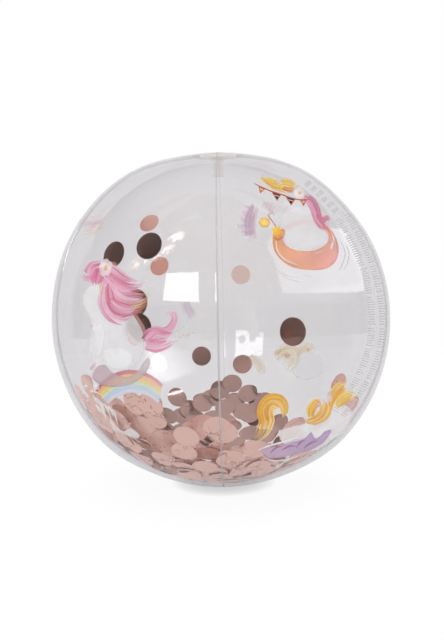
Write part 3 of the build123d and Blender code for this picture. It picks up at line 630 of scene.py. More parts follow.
def confetti_piece(name, node, body, seed, curl, tilt, lip=0.0, crush=0.0):
    rng = random.Random(seed)
    radii = [0.0, 3.6, 7.2, 10.4, 12.8, 13.75, 14.0]
    seg = 36
    t = 0.06
    verts, faces, tone, edge, matt = [], [], [], [], []
    for c, nrm in loose_discs(node):
        # crushed foil scatters light, and the discs towards the front get the largest matte share, which paints the
        # near discs lighter than the far ones
        lean_deg, dull = 0.0, crush * (0.30 + 1.10 * min(1.0, max(0.0, (0.05 - c[1]) / 0.10)))
        if node == "confetti_on_front_film" and c[0] > 0:
            lean_deg = 6.0
        if node == "confetti_on_front_film" and c[0] < 0 and c[2] > CZ + 0.05:
            lean_deg = -5.0
        # this disc is fully matte in the lighter tint: a painted reflection of the bright floor
        if node == "confetti_on_back_film" and abs(c[0] - 0.0263) < 0.012 and c[2] > CZ + 0.03:
            lean_deg, dull = -4.0, 1.0
        if node == "confetti_on_back_film" and abs(c[0] + 0.0264) < 0.012 and CZ - 0.10 < c[2] < CZ - 0.03:
            lean_deg = 7.0
        u = np.cross(nrm, [0.13, 0.31, 0.94])
        u /= np.linalg.norm(u)
        a = rng.uniform(0, 2 * math.pi)
        v = np.cross(nrm, u)
        u, v = math.cos(a) * u + math.sin(a) * v, -math.sin(a) * u + math.cos(a) * v
        if lean_deg:
            # these face a little higher than the film behind them
            ax = np.cross(nrm, [0, 0, 1.0])
            ax /= np.linalg.norm(ax)
            q = math.radians(lean_deg)
            c = c - nrm * max(0.0, 14.0 * math.sin(abs(q)) - 0.9) * MM
            nrm = nrm * math.cos(q) + np.cross(ax, nrm) * math.sin(q)
            u = np.cross(nrm, [0.13, 0.31, 0.94])
            u /= np.linalg.norm(u)
            v = np.cross(nrm, u)
        # a slight extra lean
        k = rng.gauss(0, tilt)
        nn = nrm * math.cos(k) + u * math.sin(k)
        u = np.cross(v, nn)
        kind = rng.random()
        lift = abs(rng.gauss(0, 1)) * curl * (1.0 if kind < 0.75 else 2.2)
        lift = min(lift, 4.0)
        sgn = -1.0 if rng.random() < 0.8 else 0.6
        twist = rng.gauss(0, 0.25) * curl
        crease = (rng.random() < 0.22) and curl > 0.4
        off = rng.uniform(-0.3, 0.3)
        # one edge bent inwards
        bent = rng.random() < lip
        bx = rng.uniform(5.5, 11.5)
        bs = min(rng.uniform(0.45, 1.3), 3.6 / (14.0 - bx))
        ba = rng.uniform(-0.35, 0.35)
        tn = rng.random()
        if crush and c[1] > 0.02:
            # the far ones are painted darker, as shade at the back of the heap
            tn = 1.1 + 0.8 * min(1.0, (c[1] - 0.02) / 0.045)
        base = len(verts)
        ring_off = []

        def height(x, y):
            q = (x / 14.0 - off) if crease else x / 14.0
            h = (math.sqrt(q * q + 0.006) - 0.077) * lift * 1.1 if crease else q * q * lift
            z = sgn * (h - 0.25 * lift) + twist * (x * y) / 196.0
            if bent:
                e = x * math.cos(ba) + y * math.sin(ba) - bx
                z -= bs * 0.5 * (e + math.sqrt(e * e + 0.5))
            return z

        for side in (1, -1):
            for r in radii:
                if r == 0:
                    ring_off.append(len(verts))
                    h = height(0, 0) + side * t
                    verts.append(c + nn * h * MM)
                    tone.append(tn)
                    matt.append(dull)
                    edge.append(0.0)
                    continue
                ring_off.append(len(verts))
                for s in range(seg):
                    ang = 2 * math.pi * s / seg
                    x, y = r * math.cos(ang), r * math.sin(ang)
                    h = height(x, y) + side * t
                    verts.append(c + (u * x + v * y + nn * h) * MM)
                    tone.append(tn)
                    matt.append(dull)
                    edge.append(1.0 if r > 13.9 else 0.0)
        nr = len(radii)
        for sd in range(2):
            o = ring_off[sd * nr:(sd + 1) * nr]
            for s in range(seg):
                s2 = (s + 1) % seg
                f = (o[0], o[1] + s, o[1] + s2)
                faces.append(f if sd == 0 else f[::-1])
                for q in range(1, nr - 1):
                    f = (o[q] + s, o[q + 1] + s, o[q + 1] + s2, o[q] + s2)
                    faces.append(f if sd == 0 else f[::-1])
        A, B = ring_off[nr - 1], ring_off[2 * nr - 1]
        for s in range(seg):
            s2 = (s + 1) % seg
            faces.append((A + s, B + s, B + s2, A + s2))
    ob = new_mesh(name, verts, faces)
    bm = bmesh.new()
    bm.from_mesh(ob.data)
    bmesh.ops.recalc_face_normals(bm, faces=bm.faces)
    for e in bm.edges:
        if len(e.link_faces) == 2 and e.calc_face_angle(0) > math.radians(50):
            e.smooth = False
    bm.to_mesh(ob.data)
    bm.free()
    point_attr(ob, "tone", tone)
    point_attr(ob, "crush", matt)
    point_attr(ob, "edge", edge)
    ob.data.materials.append(FOIL)
    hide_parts(node)
    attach(ob, body)
    return ob


confetti_piece("foil_confetti_lower", "confetti_lower_layer", "confetti_lower", 5, 0.26, 0.05, 0.55, 0.50)
confetti_piece("foil_confetti_upper", "confetti_upper_layer", "confetti_upper", 8, 0.6, 0.10, 0.6, 0.48)
confetti_piece("foil_confetti_front", "confetti_on_front_film", "confetti_front", 2, 0.10, 0.01)
confetti_piece("foil_confetti_back", "confetti_on_back_film", "confetti_back", 3, 0.22, 0.02)

# ------------------------------------------------------------------ the camera
AZ0, EL0, DIST, FPX = math.radians(0.9), math.radians(4.0), 0.9165, 758.0
ROLL = math.radians(1.1)
CX, CY = 221.2, 321.6


def cam_frame(az0, roll=ROLL):
    cp = np.array([math.sin(az0) * math.cos(EL0), -math.cos(az0) * math.cos(EL0),
                   math.sin(EL0)]) * DIST
    fw = -cp / np.linalg.norm(cp)
    rt = np.cross(fw, [0, 0, 1.0])
    rt /= np.linalg.norm(rt)
    up = np.cross(rt, fw)
    c, s = math.cos(roll), math.sin(roll)
    return cp, fw, rt * c - up * s, up * c + rt * s


def to_film(px, py, az0=AZ0, far=False):
    # azimuth and polar angle of the film where the view line through (px, py)
    # meets it: its near side, or the side behind
    px, py = np.asarray(px, float), np.asarray(py, float)
    cp, fw, rt, up = cam_frame(az0)
    d = fw + rt * ((px - CX) / FPX)[:, None] - up * ((py - CY) / FPX)[:, None]
    d /= np.linalg.norm(d, axis=1)[:, None]
    R = np.full(len(px), 0.2)
    b = d @ cp
    sg = 1.0 if far else -1.0
    for _ in range(8):
        disc = b * b - (cp @ cp - R * R)
        disc = np.maximum(disc, 1e-6)
        p = cp + (-b + sg * np.sqrt(disc))[:, None] * d
        r = np.linalg.norm(p, axis=1)
        az = np.arctan2(p[:, 1], p[:, 0])
        th = np.arccos(np.clip(p[:, 2] / r, -1, 1))
        R = film_r(az, th, False) * MM
    return az, th


cam = bpy.data.cameras.new("camera")
cam.lens = FPX * 36.0 / 640.0
cam.sensor_width = 36.0
cam.sensor_fit = "AUTO"
cam.shift_x = (222.0 - CX) / 640.0
cam.shift_y = (CY - 320.0) / 640.0
co = bpy.data.objects.new("camera", cam)
SC.collection.objects.link(co)
cp, fw, rt, up = cam_frame(AZ0)
co.location = Vector(cp + C0)
co.rotation_euler = Matrix((rt, up, -fw)).transposed().to_euler()
SC.camera = co

# --------------------------------------------------------------------- the art
ART = []          # (verts, faces, colours, layer) waiting to be joined


def smooth_loop(pts, n=6, closed=True):
    P = np.array(pts, float)
    m = len(P)
    out = []
    rng = range(m if closed else m - 1)
    for i in rng:
        if closed:
            p0, p1, p2, p3 = P[(i - 1) % m], P[i], P[(i + 1) % m], P[(i + 2) % m]
        else:
            p0, p1, p2, p3 = P[max(i - 1, 0)], P[i], P[i + 1], P[min(i + 2, m - 1)]
        for k in range(n):
            t = k / n
            out.append(0.5 * (2 * p1 + (p2 - p0) * t + (2 * p0 - 5 * p1 + 4 * p2 - p3) * t * t
                              + (3 * p1 - p0 - 3 * p2 + p3) * t ** 3))
    if not closed:
        out.append(P[-1])
    return np.array(out)


def inside(poly, x, y):
    c = False
    n = len(poly)
    j = n - 1
    for i in range(n):
        xi, yi = poly[i]
        xj, yj = poly[j]
        if (yi > y) != (yj > y) and x < (xj - xi) * (y - yi) / (yj - yi + 1e-12) + xi:
            c = not c
        j = i
    return c


def art_fill(poly, colour, layer=0, alpha=0.95, grid=3.2):
    # a filled outline; colour and alpha are functions of (x, y) or one value
    poly = np.asarray(poly, float)
    lo, hi = poly.min(0), poly.max(0)
    pts = [tuple(p) for p in poly]
    n = len(pts)
    gx = np.arange(lo[0] + grid * 0.5, hi[0], grid)
    gy = np.arange(lo[1] + grid * 0.5, hi[1], grid)
    for i, x in enumerate(gx):
        for y in gy + (grid / 2 if i % 2 else 0):
            if inside(poly, x, y):
                dd = np.min(np.hypot(poly[:, 0] - x, poly[:, 1] - y))
                if dd > grid * 0.35:
                    pts.append((x, y))
    edges = [(i, (i + 1) % n) for i in range(n)]
    v, e, f, *_ = delaunay_2d_cdt([Vector(p) for p in pts], edges, [list(range(n))], 1, 1e-4)
    v = np.array([tuple(p) for p in v])
    faces = [tuple(t) for t in f]
    rgb = np.array([colour(x, y) for x, y in v]) if callable(colour) else np.tile(np.asarray(colour, float), (len(v), 1))
    if callable(alpha):
        al = np.array([alpha(x, y) for x, y in v])
    else:
        al = np.full(len(v), alpha)
    ART.append((v, faces, np.c_[rgb, al], layer))


def art_stroke(path, widths, c0, c1, layer=0, alpha=0.95, n=7, ce=None, smooth=True):
    # a ribbon along a smooth path, tapering; c0 to c1 along it, ce at its edges
    P = smooth_loop(path, n, closed=False) if smooth else np.asarray(path, float)
    W = np.interp(np.linspace(0, len(widths) - 1, len(P)), np.arange(len(widths)), widths)
    T = np.gradient(P, axis=0)
    T /= np.maximum(np.linalg.norm(T, axis=1), 1e-9)[:, None]
    Nn = np.c_[-T[:, 1], T[:, 0]]
    c0, c1 = np.asarray(c0, float), np.asarray(c1, float)
    ce = c0 if ce is None else np.asarray(ce, float)
    v, col, faces = [], [], []
    K = 5 if max(widths) > 3 else 3
    for i, p in enumerate(P):
        t = i / (len(P) - 1)
        for k in range(K):
            s = (k / (K - 1) - 0.5)
            v.append(p + Nn[i] * W[i] * s)
            m = c0 * (1 - t) + c1 * t
            q = (abs(s) * 2) ** 2 * 0.8
            col.append([*(np.clip(m * (1 - q) + (ce * (1 - t) + c1 * t) * q, 0, 1)), alpha])
    for i in range(len(P) - 1):
        for k in range(K - 1):
            faces.append((i * K + k, i * K + k + 1, (i + 1) * K + k + 1, (i + 1) * K + k))
    ART.append((np.array(v), faces, np.array(col), layer))


def art_hair(path, widths, cols, n=9, layer=2, alpha=0.92, seed=1, flick=0.35, fat=2.3):
    # brushed strands that follow one path and part at its end
    rng = random.Random(seed)
    P = smooth_loop(path, 6, closed=False)
    W = np.interp(np.linspace(0, len(widths) - 1, len(P)), np.arange(len(widths)), widths)
    T = np.gradient(P, axis=0)
    T /= np.maximum(np.linalg.norm(T, axis=1), 1e-9)[:, None]
    Nn = np.c_[-T[:, 1], T[:, 0]]
    L = len(P)
    order = list(range(n))
    rng.shuffle(order)
    for rank, k in enumerate(order):
        s = (k + 0.5) / n - 0.5
        i0 = int(rng.uniform(0, 0.12) * L)
        i1 = L - int(rng.uniform(0, flick) * L)
        idx = np.arange(i0, max(i1, i0 + 5))
        idx = idx[idx < L]
        u = (idx - idx[0]) / (idx[-1] - idx[0])
        wob = 0.10 * np.sin(u * rng.uniform(2, 5) + rng.uniform(0, 6))
        splay = 1 + 0.5 * u ** 3
        pts = P[idx] + Nn[idx] * (W[idx] * (s * splay + wob / 2))[:, None]
        wid = W[idx] / n * fat * np.sin(np.pi * np.clip(0.10 + 0.9 * u, 0, 1)) ** 0.5 + 0.15
        wid = wid * (1 - 0.9 * np.clip((u - 0.75) / 0.25, 0, 1) ** 1.4)
        c0 = np.asarray(cols[rng.randrange(len(cols))])
        c1 = np.asarray(cols[rng.randrange(len(cols))])
        ce = c0 * rng.uniform(0.78, 1.0)
        art_stroke(pts, list(wid), c0, c1, layer + 0.34 * (rank % 3) + 0.02 * rank, alpha, ce=ce, smooth=False)


def soft(cx, cy, rx, ry, a, hard=0.55):
    # alpha that fades out towards the rim of an ellipse
    def f(x, y):
        d = math.hypot((x - cx) / rx, (y - cy) / ry)
        return a * min(1.0, max(0.0, (1.08 - d) / (1.08 - hard))) ** 0.8
    return f


def puff(cx, cy, rx, ry, bumps, amp=0.16, rot=0.0, flat=0.0, seed=1, n=90):
    rng = random.Random(seed)
    ph = [rng.uniform(-0.25, 0.25) for _ in range(bumps + 1)]
    out = []
    for i in range(n):
        a = 2 * math.pi * i / n
        b = abs(math.sin(bumps * a / 2 + ph[int(bumps * a / (2 * math.pi)) % len(ph)] * 0.6))
        r = 1 - amp + amp * 1.25 * b ** 0.6
        x, y = rx * r * math.cos(a), ry * r * math.sin(a)
        if y > 0:
            y *= (1 - flat)
        out.append((cx + x * math.cos(rot) - y * math.sin(rot), cy + x * math.sin(rot) + y * math.cos(rot)))
    return out


def star(cx, cy, R, r, k=5, rot=0.0):
    return [(cx + (R if i % 2 == 0 else r) * math.cos(rot + math.pi * i / k - math.pi / 2),
             cy + (R if i % 2 == 0 else r) * math.sin(rot + math.pi * i / k - math.pi / 2)) for i in range(2 * k)]


def ellipse(cx, cy, rx, ry, n=72, rot=0.0):
    out = []
    for i in range(n):
        a = 2 * math.pi * i / n
        x, y = rx * math.cos(a), ry * math.sin(a)
        out.append((cx + x * math.cos(rot) - y * math.sin(rot), cy + x * math.sin(rot) + y * math.cos(rot)))
    return np.array(out)


def grad(c0, c1, p0, p1):
    p0, p1 = np.array(p0, float), np.array(p1, float)
    d = p1 - p0
    L = d @ d
    c0, c1 = np.asarray(c0), np.asarray(c1)

    def f(x, y):
        t = min(1.0, max(0.0, ((np.array((x, y)) - p0) @ d) / L))
        return c0 * (1 - t) + c1 * t
    return f


WHITE = lin((240, 240, 241))
WHITE_S = lin((228, 226, 229))
PINK = [lin(c) for c in ((216, 134, 164), (224, 156, 182), (232, 180, 202), (240, 208, 222), (206, 116, 146))]
PINK_PALE = [lin(c) for c in ((232, 184, 206), (242, 212, 224), (226, 164, 190))]
GOLDS = [lin(c) for c in ((248, 206, 96), (240, 188, 76), (250, 220, 140), (228, 164, 86), (252, 232, 176))]
AMBERS = [lin(c) for c in ((240, 210, 110), (230, 176, 112), (244, 222, 150), (222, 156, 118))]
STRAW = [lin(c) for c in ((236, 208, 96), (242, 218, 120), (230, 194, 96))]
ROSES = [lin(c) for c in ((218, 138, 160), (228, 166, 188), (212, 148, 178), (238, 192, 210), (206, 120, 146))]
LILACS = [lin(c) for c in ((206, 176, 214), (220, 190, 220), (214, 160, 190), (228, 206, 228))]
CRIM, PEACH = lin((204, 92, 122)), lin((244, 186, 110))
YELL, MINT, SKY, SKY2 = lin((246, 208, 104)), lin((208, 226, 200)), lin((196, 212, 236)), lin((214, 222, 238))


def rainbow(outer, inner, layer=1, fade=0.35):
    # outer, inner: (cx, cy, radius, angle at the left end, angle at the right end)
    cols = [CRIM, PEACH, YELL, MINT, SKY, SKY2]
    o, q = np.array(outer, float), np.array(inner, float)
    w = abs((o[1] - o[2]) - (q[1] - q[2])) / 6.0
    for i, c in enumerate(cols):
        cx, cy, r, al, ar = o + (q - o) * ((i + 0.5) / 6.0)
        arc = [(cx + r * math.cos(math.radians(a)), cy - r * math.sin(math.radians(a)))
               for a in np.linspace(al, ar, 12)]
        art_stroke(arc, [w * 0.75, w * 1.05, w * 1.10, w * 1.02, w * 0.85], c, c * (1 - fade) + WHITE * fade,
                   layer, 0.90, ce=c * 0.95)


def clouds_with_ribbons():
    # a tall bank of cloud with streaming pink ribbons, over a rainbow
    art_fill(smooth_loop([(94, 268), (104, 262), (112, 268), (113, 284), (120, 300), (133, 315), (143, 333),
                          (143, 352), (134, 366), (116, 374), (101, 372), (93, 358), (97, 342), (92, 326),
                          (88, 314), (83, 304), (84, 293), (92, 284)], 6),
             grad(WHITE, lin((236, 235, 237)), (98, 280), (140, 372)), 0, 0.82)
    art_fill(puff(97, 341, 8, 18, 4, 0.12, 0.1, seed=4), WHITE, 0.5, 0.55)
    # lilac-grey cloud at the foot
    art_fill(smooth_loop([(92, 376), (96, 367), (106, 364), (112, 372), (126, 377), (137, 372), (144, 362), (149, 357),
                          (150, 365), (143, 376), (131, 384), (113, 387), (99, 384)], 6),
             grad(lin((200, 176, 184)), lin((214, 204, 204)), (96, 384), (148, 360)), 3, 0.9)
    art_stroke([(92, 377), (96, 367), (105, 364), (111, 371)], [0.8, 1.6, 1.6, 0.6], WHITE, WHITE, 4, 0.9)
    art_fill(smooth_loop([(104, 352), (116, 348), (130, 352), (134, 362), (122, 370), (108, 367)], 6), WHITE, 4, 0.75)
    art_fill(smooth_loop([(127, 331), (133, 336), (138, 344), (133, 345), (128, 339)], 5), lin((238, 222, 226)), 4, 0.8)
    # ribbons
    art_hair([(104, 266), (112, 274), (124, 283), (136, 285), (147, 280)], [13, 17, 15, 9, 2], PINK + PINK_PALE, 13, 5, 0.9, 11)
    art_hair([(106, 274), (112, 290), (124, 299), (138, 300), (148, 296)], [14, 20, 17, 12, 3], PINK_PALE + [lin((238, 214, 150))], 12, 4.5, 0.85, 12)
    art_hair([(107, 284), (107, 302), (114, 313), (125, 317), (133, 312)], [8, 16, 17, 12, 3], PINK, 12, 5.5, 0.92, 13)
    art_hair([(110, 300), (118, 308), (130, 310), (137, 304)], [7, 11, 9, 2], PINK_PALE + PINK[:2], 8, 6.5, 0.9, 14)
    art_hair([(102, 265), (94, 268), (88, 276), (81, 271)], [8, 12, 9, 3], PINK, 9, 5, 0.9, 15)
    art_hair([(100, 268), (97, 279), (94, 287)], [10, 11, 3], PINK[:3], 8, 5.5, 0.9, 16)
    art_hair([(144, 342), (152, 336), (163, 334), (171, 327), (175, 318), (171, 313), (166, 316)], [10, 17, 12, 7, 5, 4, 1.5], PINK + PINK_PALE, 12, 5, 0.9, 17, 0.15)
    art_hair([(145, 345), (156, 346), (166, 344), (176, 339)], [9, 13, 8, 2], PINK_PALE + PINK[:3], 9, 5.5, 0.85, 18)
    art_hair([(146, 340), (155, 331), (165, 333), (173, 334)], [6, 9, 7, 2], PINK[:4], 7, 6.5, 0.85, 19)
    art_fill(puff(106, 268, 6.5, 9, 5, 0.16, 0.25, seed=9), grad(WHITE, lin((240, 226, 228)), (103, 276), (109, 258)), 7.5, 0.85)
    art_fill(ellipse(106, 268, 1.9, 2.5, 14, 0.2), lin((240, 196, 150)), 8.5, 0.92, 3)
    rainbow((131, 411.5, 41.5, 149, 41), (133.5, 426, 33.5, 140, 42))
    # white splash over the rainbow's foot
    for k, (x, y, s) in enumerate([(86, 386, 1.5), (92, 391, 1.2), (84, 393, 0.9), (98, 388, 1.4), (88, 400, 0.8)]):
        art_fill(star(x, y, 2.0 * s, 0.8 * s, 4, 0.3 * k), WHITE, 6, 0.95, 9)
    for k, (x, y) in enumerate([(93, 395), (97, 398), (100, 401), (104, 403), (108, 405), (112, 409), (96, 404), (101, 408)]):
        art_stroke([(x, y), (x + 2.6, y + 4), (x + 6, y + 9 + (k % 3) * 3)], [0.7, 2.4, 0.3], WHITE, WHITE, 7, 0.92)
    art_fill(smooth_loop([(110, 418), (116, 426), (124, 431), (131, 428), (140, 435), (136, 438), (124, 434), (114, 430)], 5), WHITE, 6, 0.85)
    art_stroke([(104, 408), (110, 414), (111, 424)], [0.6, 1.6, 0.4], lin((226, 200, 196)), WHITE, 6, 0.9)


def ring_and_drink():
    # a swim ring in the clouds, a cool drink and sunglasses
    def ringcol(x, y):
        t = min(1.0, max(0.0, (x - 272) / 66.0))
        c = lin((238, 166, 112)) * (1 - t) + lin((238, 168, 158)) * t
        b = 0.5 + 0.5 * math.sin((x * 0.10 + y * 0.19))
        return np.clip(c * (0.93 + 0.12 * b), 0, 1)
    ring = smooth_loop([(272.5, 238), (275, 231), (283, 229), (285, 234), (283, 240), (288, 247), (301, 251), (317, 249.5),
                        (327, 243), (328, 235), (322, 227), (324, 224.5), (332, 231), (337, 241), (338.5, 251),
                        (335, 262), (325, 269), (308, 270), (292, 267), (280, 259), (274, 249)], 6)
    art_fill(ring, ringcol, 3, 0.92)
    # far rim of the ring, mostly lost in the cloud
    art_stroke([(282, 231), (290, 226), (303, 222), (317, 223), (325, 228)], [3, 5, 5, 5, 2.5], lin((232, 176, 150)), lin((232, 180, 176)), 0.3, 0.55)
    art_fill(smooth_loop([(283, 215), (292, 208), (305, 205), (314, 209), (319, 221), (325, 229), (329, 240), (322, 247),
                          (306, 250), (290, 247), (284, 240), (283, 228)], 6),
             lambda x, y: lin((231, 229, 231)), 1.5, 0.72)
    art_fill(puff(299, 206, 15, 8, 7, 0.26, 0.2, seed=11), WHITE, 1, 0.35)
    art_stroke([(276, 240), (277, 250), (284, 259), (297, 265)], [0.4, 1.6, 1.8, 0.3], WHITE, WHITE, 4, 0.95)
    art_stroke([(329, 231), (333, 239), (331, 249)], [0.6, 2.4, 2.2], WHITE, WHITE, 4, 0.95)
    art_stroke([(315, 253.5), (322, 251.5)], [1.0, 0.4], WHITE, WHITE, 4, 0.9)
    art_stroke([(324, 226), (330, 233), (333, 243)], [1.0, 1.4, 0.6], lin((212, 122, 92)), lin((226, 150, 128)), 4.4, 0.9)
    art_stroke([(273, 241), (275, 251), (282, 260)], [0.6, 1.3, 0.4], lin((226, 150, 88)), lin((232, 160, 120)), 4.4, 0.9)
    # gold and pink streamers
    art_hair([(260, 177), (266, 181.5), (274, 186), (284, 189), (294, 191)], [1.2, 4, 6, 6.5, 4], STRAW + AMBERS, 11, 2, 0.9, 31, 0.15, 1.9)
    art_hair([(266, 178), (272, 181), (279, 183.5)], [2, 4.5, 3], STRAW, 7, 2.4, 0.88, 32, 0.25, 1.8)
    art_hair([(281, 181), (288, 182.5), (296, 187.5)], [3.5, 6.5, 5], STRAW[:2] + AMBERS[:2], 9, 3.2, 0.88, 33, 0.15, 1.9)
    art_hair([(283, 188), (289, 190), (295, 190.5)], [3, 4.5, 3], AMBERS[1:2] + AMBERS[3:], 6, 3.4, 0.85, 36, 0.15, 1.8)
    art_fill(puff(299.5, 193, 5.5, 6, 5, 0.16, 0.3, seed=19), grad(WHITE, lin((240, 224, 220)), (295, 197), (304, 190)), 4, 0.85)
    art_hair([(304, 196), (311, 202), (315, 210), (318, 219), (324, 226), (329, 222)], [6, 9, 9, 8, 7, 2], ROSES, 11, 4, 0.92, 34, 0.15)
    art_hair([(317, 214), (321, 220), (327, 218), (327, 223)], [3, 4, 3.5, 1.2], ROSES[:3], 5, 5, 0.92, 35)
    # a flower, and a string of pennants over it all
    art_fill(ellipse(299.5, 193, 1.7, 1.6, 12, 0.0), lin((238, 190, 140)), 5, 0.92, 3)
    cord = lin((196, 96, 62))
    art_stroke([(254, 183.6), (262, 187.6), (271, 191.4), (281, 194.6), (290, 197.8), (299, 199.9), (309, 199.8)], [0.5, 1.2, 1.3, 1.3, 1.3, 1.2, 0.6], cord, cord, 5, 0.97, 5)
    for (x0, y0), (x1, y1), (tx, ty), fill in (((258.2, 186.0), (265.4, 189.2), (260.2, 193.6), lin((232, 152, 92))),
                                               ((271.0, 191.6), (281.2, 194.8), (277.0, 201.2), lin((64, 44, 40))),
                                               ((285.2, 196.3), (295.4, 199.4), (291.0, 205.8), lin((64, 44, 40))),
                                               ((299.6, 200.2), (306.8, 200.1), (303.4, 206.4), lin((232, 152, 92)))):
        a, b, c = np.array((x0, y0)), np.array((x1, y1)), np.array((tx, ty))
        m = (a + b + c) / 3
        art_fill([tuple(q) for q in (a, (a + b) / 2, b, (b + c) / 2, c, (a + c) / 2)], cord, 5, 0.97, 4)
        art_fill([tuple(m + (q - m) * 0.70) for q in (a, (a + b) / 2, b, (b + c) / 2, c, (a + c) / 2)], fill, 6, 0.98, 4)
        # a pale band across each
        l0, l1 = a + (c - a) * 0.36, b + (c - b) * 0.36
        l0, l1 = l0 + (l1 - l0) * 0.16, l1 - (l1 - l0) * 0.16
        art_stroke([tuple(l0), tuple(l1)], [0.8, 0.8], WHITE, WHITE, 7, 0.95, 3)
    # citrus slice
    art_fill(ellipse(264.5, 222.6, 5.4, 5.0, 40, 0.3), lin((240, 190, 58)), 4, 0.95, 3)
    art_fill(ellipse(264.5, 222.6, 4.5, 4.1, 36, 0.3), lin((250, 238, 180)), 5, 0.95, 3)
    for k in range(8):
        a = 2 * math.pi * k / 8 + 0.2
        tri = [(264.5 + 0.9 * math.cos(a), 222.6 + 0.8 * math.sin(a)),
               (264.5 + 3.8 * math.cos(a - 0.28), 222.6 + 3.5 * math.sin(a - 0.28)),
               (264.5 + 4.0 * math.cos(a), 222.6 + 3.7 * math.sin(a)),
               (264.5 + 3.8 * math.cos(a + 0.28), 222.6 + 3.5 * math.sin(a + 0.28))]
        art_fill(tri, lin((246, 206, 78)), 6, 0.95, 9)
    # drink
    art_fill([(271.5, 228.6), (279.5, 226.4), (282.2, 234.4), (276.2, 237.6), (273.8, 236.4)], grad(lin((250, 216, 92)), lin((232, 178, 60)), (272, 228), (282, 238)), 5, 0.93, 3)
    art_stroke([(271.5, 228.4), (275.6, 227.0), (279.6, 226.2)], [0.9, 1.2, 0.9], lin((252, 234, 170)), lin((252, 234, 170)), 6, 0.96, 3)
    art_stroke([(276, 227.0), (271.5, 220.6), (268.3, 215.6), (272.3, 212.6)], [0.9, 0.9, 0.9, 0.7], lin((206, 110, 96)), lin((206, 110, 96)), 7, 0.96, 4)
    art_stroke([(273.8, 237.2), (277.6, 239.6), (282.6, 236.6)], [1.6, 2.6, 1.4], lin((212, 136, 96)), lin((216, 146, 110)), 5, 0.93, 4)


def gold_streamers_and_cloud():
    art_fill(smooth_loop([(279, 432), (290, 427), (303, 424), (314, 421), (322, 411), (333, 405), (345, 405), (352, 413),
                          (348, 426), (338, 436), (322, 443), (300, 446), (284, 444)], 6),
             lambda x, y: WHITE, 0, 0.72)
    art_fill(smooth_loop([(262, 449), (274, 447), (288, 443), (300, 440), (306, 437), (311, 432), (315, 438), (320, 436),
                          (325, 431), (331, 430), (328, 437), (321, 444), (310, 450), (292, 455), (275, 458), (266, 457)], 6),
             grad(lin((206, 180, 206)), lin((186, 158, 198)), (268, 454), (330, 434)), 2, 0.92)
    for (x0, y0, x1, y1) in ((270, 453, 282, 446), (282, 450, 296, 446), (296, 448, 305, 440), (304, 448, 318, 441)):
        art_stroke([(x0, y0), ((x0 + x1) / 2, (y0 + y1) / 2 - 2), (x1, y1)], [0.5, 2.2, 0.4], lin((160, 122, 164)), lin((178, 148, 190)), 3, 0.75)
    art_stroke([(258, 450), (268, 446), (282, 442), (299, 437)], [0.8, 1.6, 1.8, 0.8], WHITE, WHITE, 3, 0.95)
    art_stroke([(262, 455), (270, 460), (284, 460), (298, 456)], [0.6, 1.4, 1.4, 0.4], WHITE, WHITE, 3, 0.85)
    art_stroke([(324, 446), (334, 437), (346, 431)], [0.4, 1.5, 0.4], WHITE, WHITE, 3, 0.8)
    art_hair([(283, 417), (284, 408), (279, 401), (270, 402), (265, 411), (266, 421), (262, 432), (252, 443)],
             [3, 8, 12, 15, 15, 13, 10, 2], GOLDS, 15, 4, 0.92, 41, 0.15)
    art_hair([(279, 407), (272, 404), (268, 411), (269, 421), (264, 430)], [4, 7, 9, 8, 2], [GOLDS[2], GOLDS[4], GOLDS[3]], 8, 5.4, 0.9, 42)
    art_hair([(305, 421), (314, 420), (323, 414), (326, 405), (321, 400)], [2, 8, 10, 9, 3], GOLDS + AMBERS[1:2], 11, 4, 0.92, 43, 0.2)
    art_hair([(310, 417), (311, 409), (317, 402), (320, 407)], [5, 8, 7, 2], GOLDS[:4], 8, 5, 0.92, 44)
    art_hair([(330, 409), (333, 398), (341, 389), (348, 386)], [3, 10, 12, 4], GOLDS, 11, 4, 0.92, 45, 0.25)
    art_hair([(336, 406), (342, 400), (350, 396), (353, 401)], [4, 9, 8, 2], GOLDS[:3] + AMBERS[1:3], 9, 5, 0.9, 46)
    art_fill(smooth_loop([(327, 394), (330, 390), (332, 397), (329, 403), (326, 400)], 5), grad(lin((222, 204, 214)), WHITE, (329, 392), (329, 402)), 5.5, 0.85)
    art_fill(smooth_loop([(315, 405), (319, 400), (321, 405), (318, 407)], 4), lin((236, 196, 184)), 6.5, 0.85)


def side_bars():
    # plain columns of fine grey bars down the side of the panel
    P = smooth_loop([(309, 183), (324, 197), (338, 212), (350.5, 230), (361.5, 252), (370.2, 275), (375.3, 300), (377, 325),
                     (374, 350), (365, 374), (352.5, 396), (339, 413)], 40, closed=False)
    L = np.r_[0, np.cumsum(np.linalg.norm(np.diff(P, axis=0), axis=1))]
    rng = random.Random(7)
    grey = lin((150, 150, 156))
    s, rows, shift = 0.0, 0, 0.0
    while s < L[-1]:
        top = s < 44
        if not top and rows <= 0:
            # the next block of bars, a little to one side
            rows, shift = rng.randint(7, 14), rng.uniform(-1.0, 0.8)
            s += 2.2
        rows -= 1
        x, y = np.interp(s, L, P[:, 0]), np.interp(s, L, P[:, 1])
        x2, y2 = np.interp(s + 1, L, P[:, 0]), np.interp(s + 1, L, P[:, 1])
        t = np.array((x2 - x, y2 - y))
        t /= max(np.linalg.norm(t), 1e-6)
        q = np.array((t[1], -t[0])) + 0.25 * np.array((1.0, 0.0))
        q /= np.linalg.norm(q)
        for a, ln in (((-4.5, 8.5),) if top else ((-8.2 + shift, 7.4), (2.3 - 0.5 * shift, 6.2))):
            ln = ln * rng.uniform(0.66, 1.0)
            fade = 1.0 if top else rng.uniform(0.7, 1.0)
            p0, p1 = np.array((x, y)) + q * a, np.array((x, y)) + q * (a + ln)
            w = 4.2 if top else 1.1
            art_stroke([tuple(p0), tuple((p0 + p1) / 2), tuple(p1)], [w, w, w], grey, grey, 0.2, 0.20 if top else 0.33 * fade, 1)
        s += 7.6 if top else 2.5


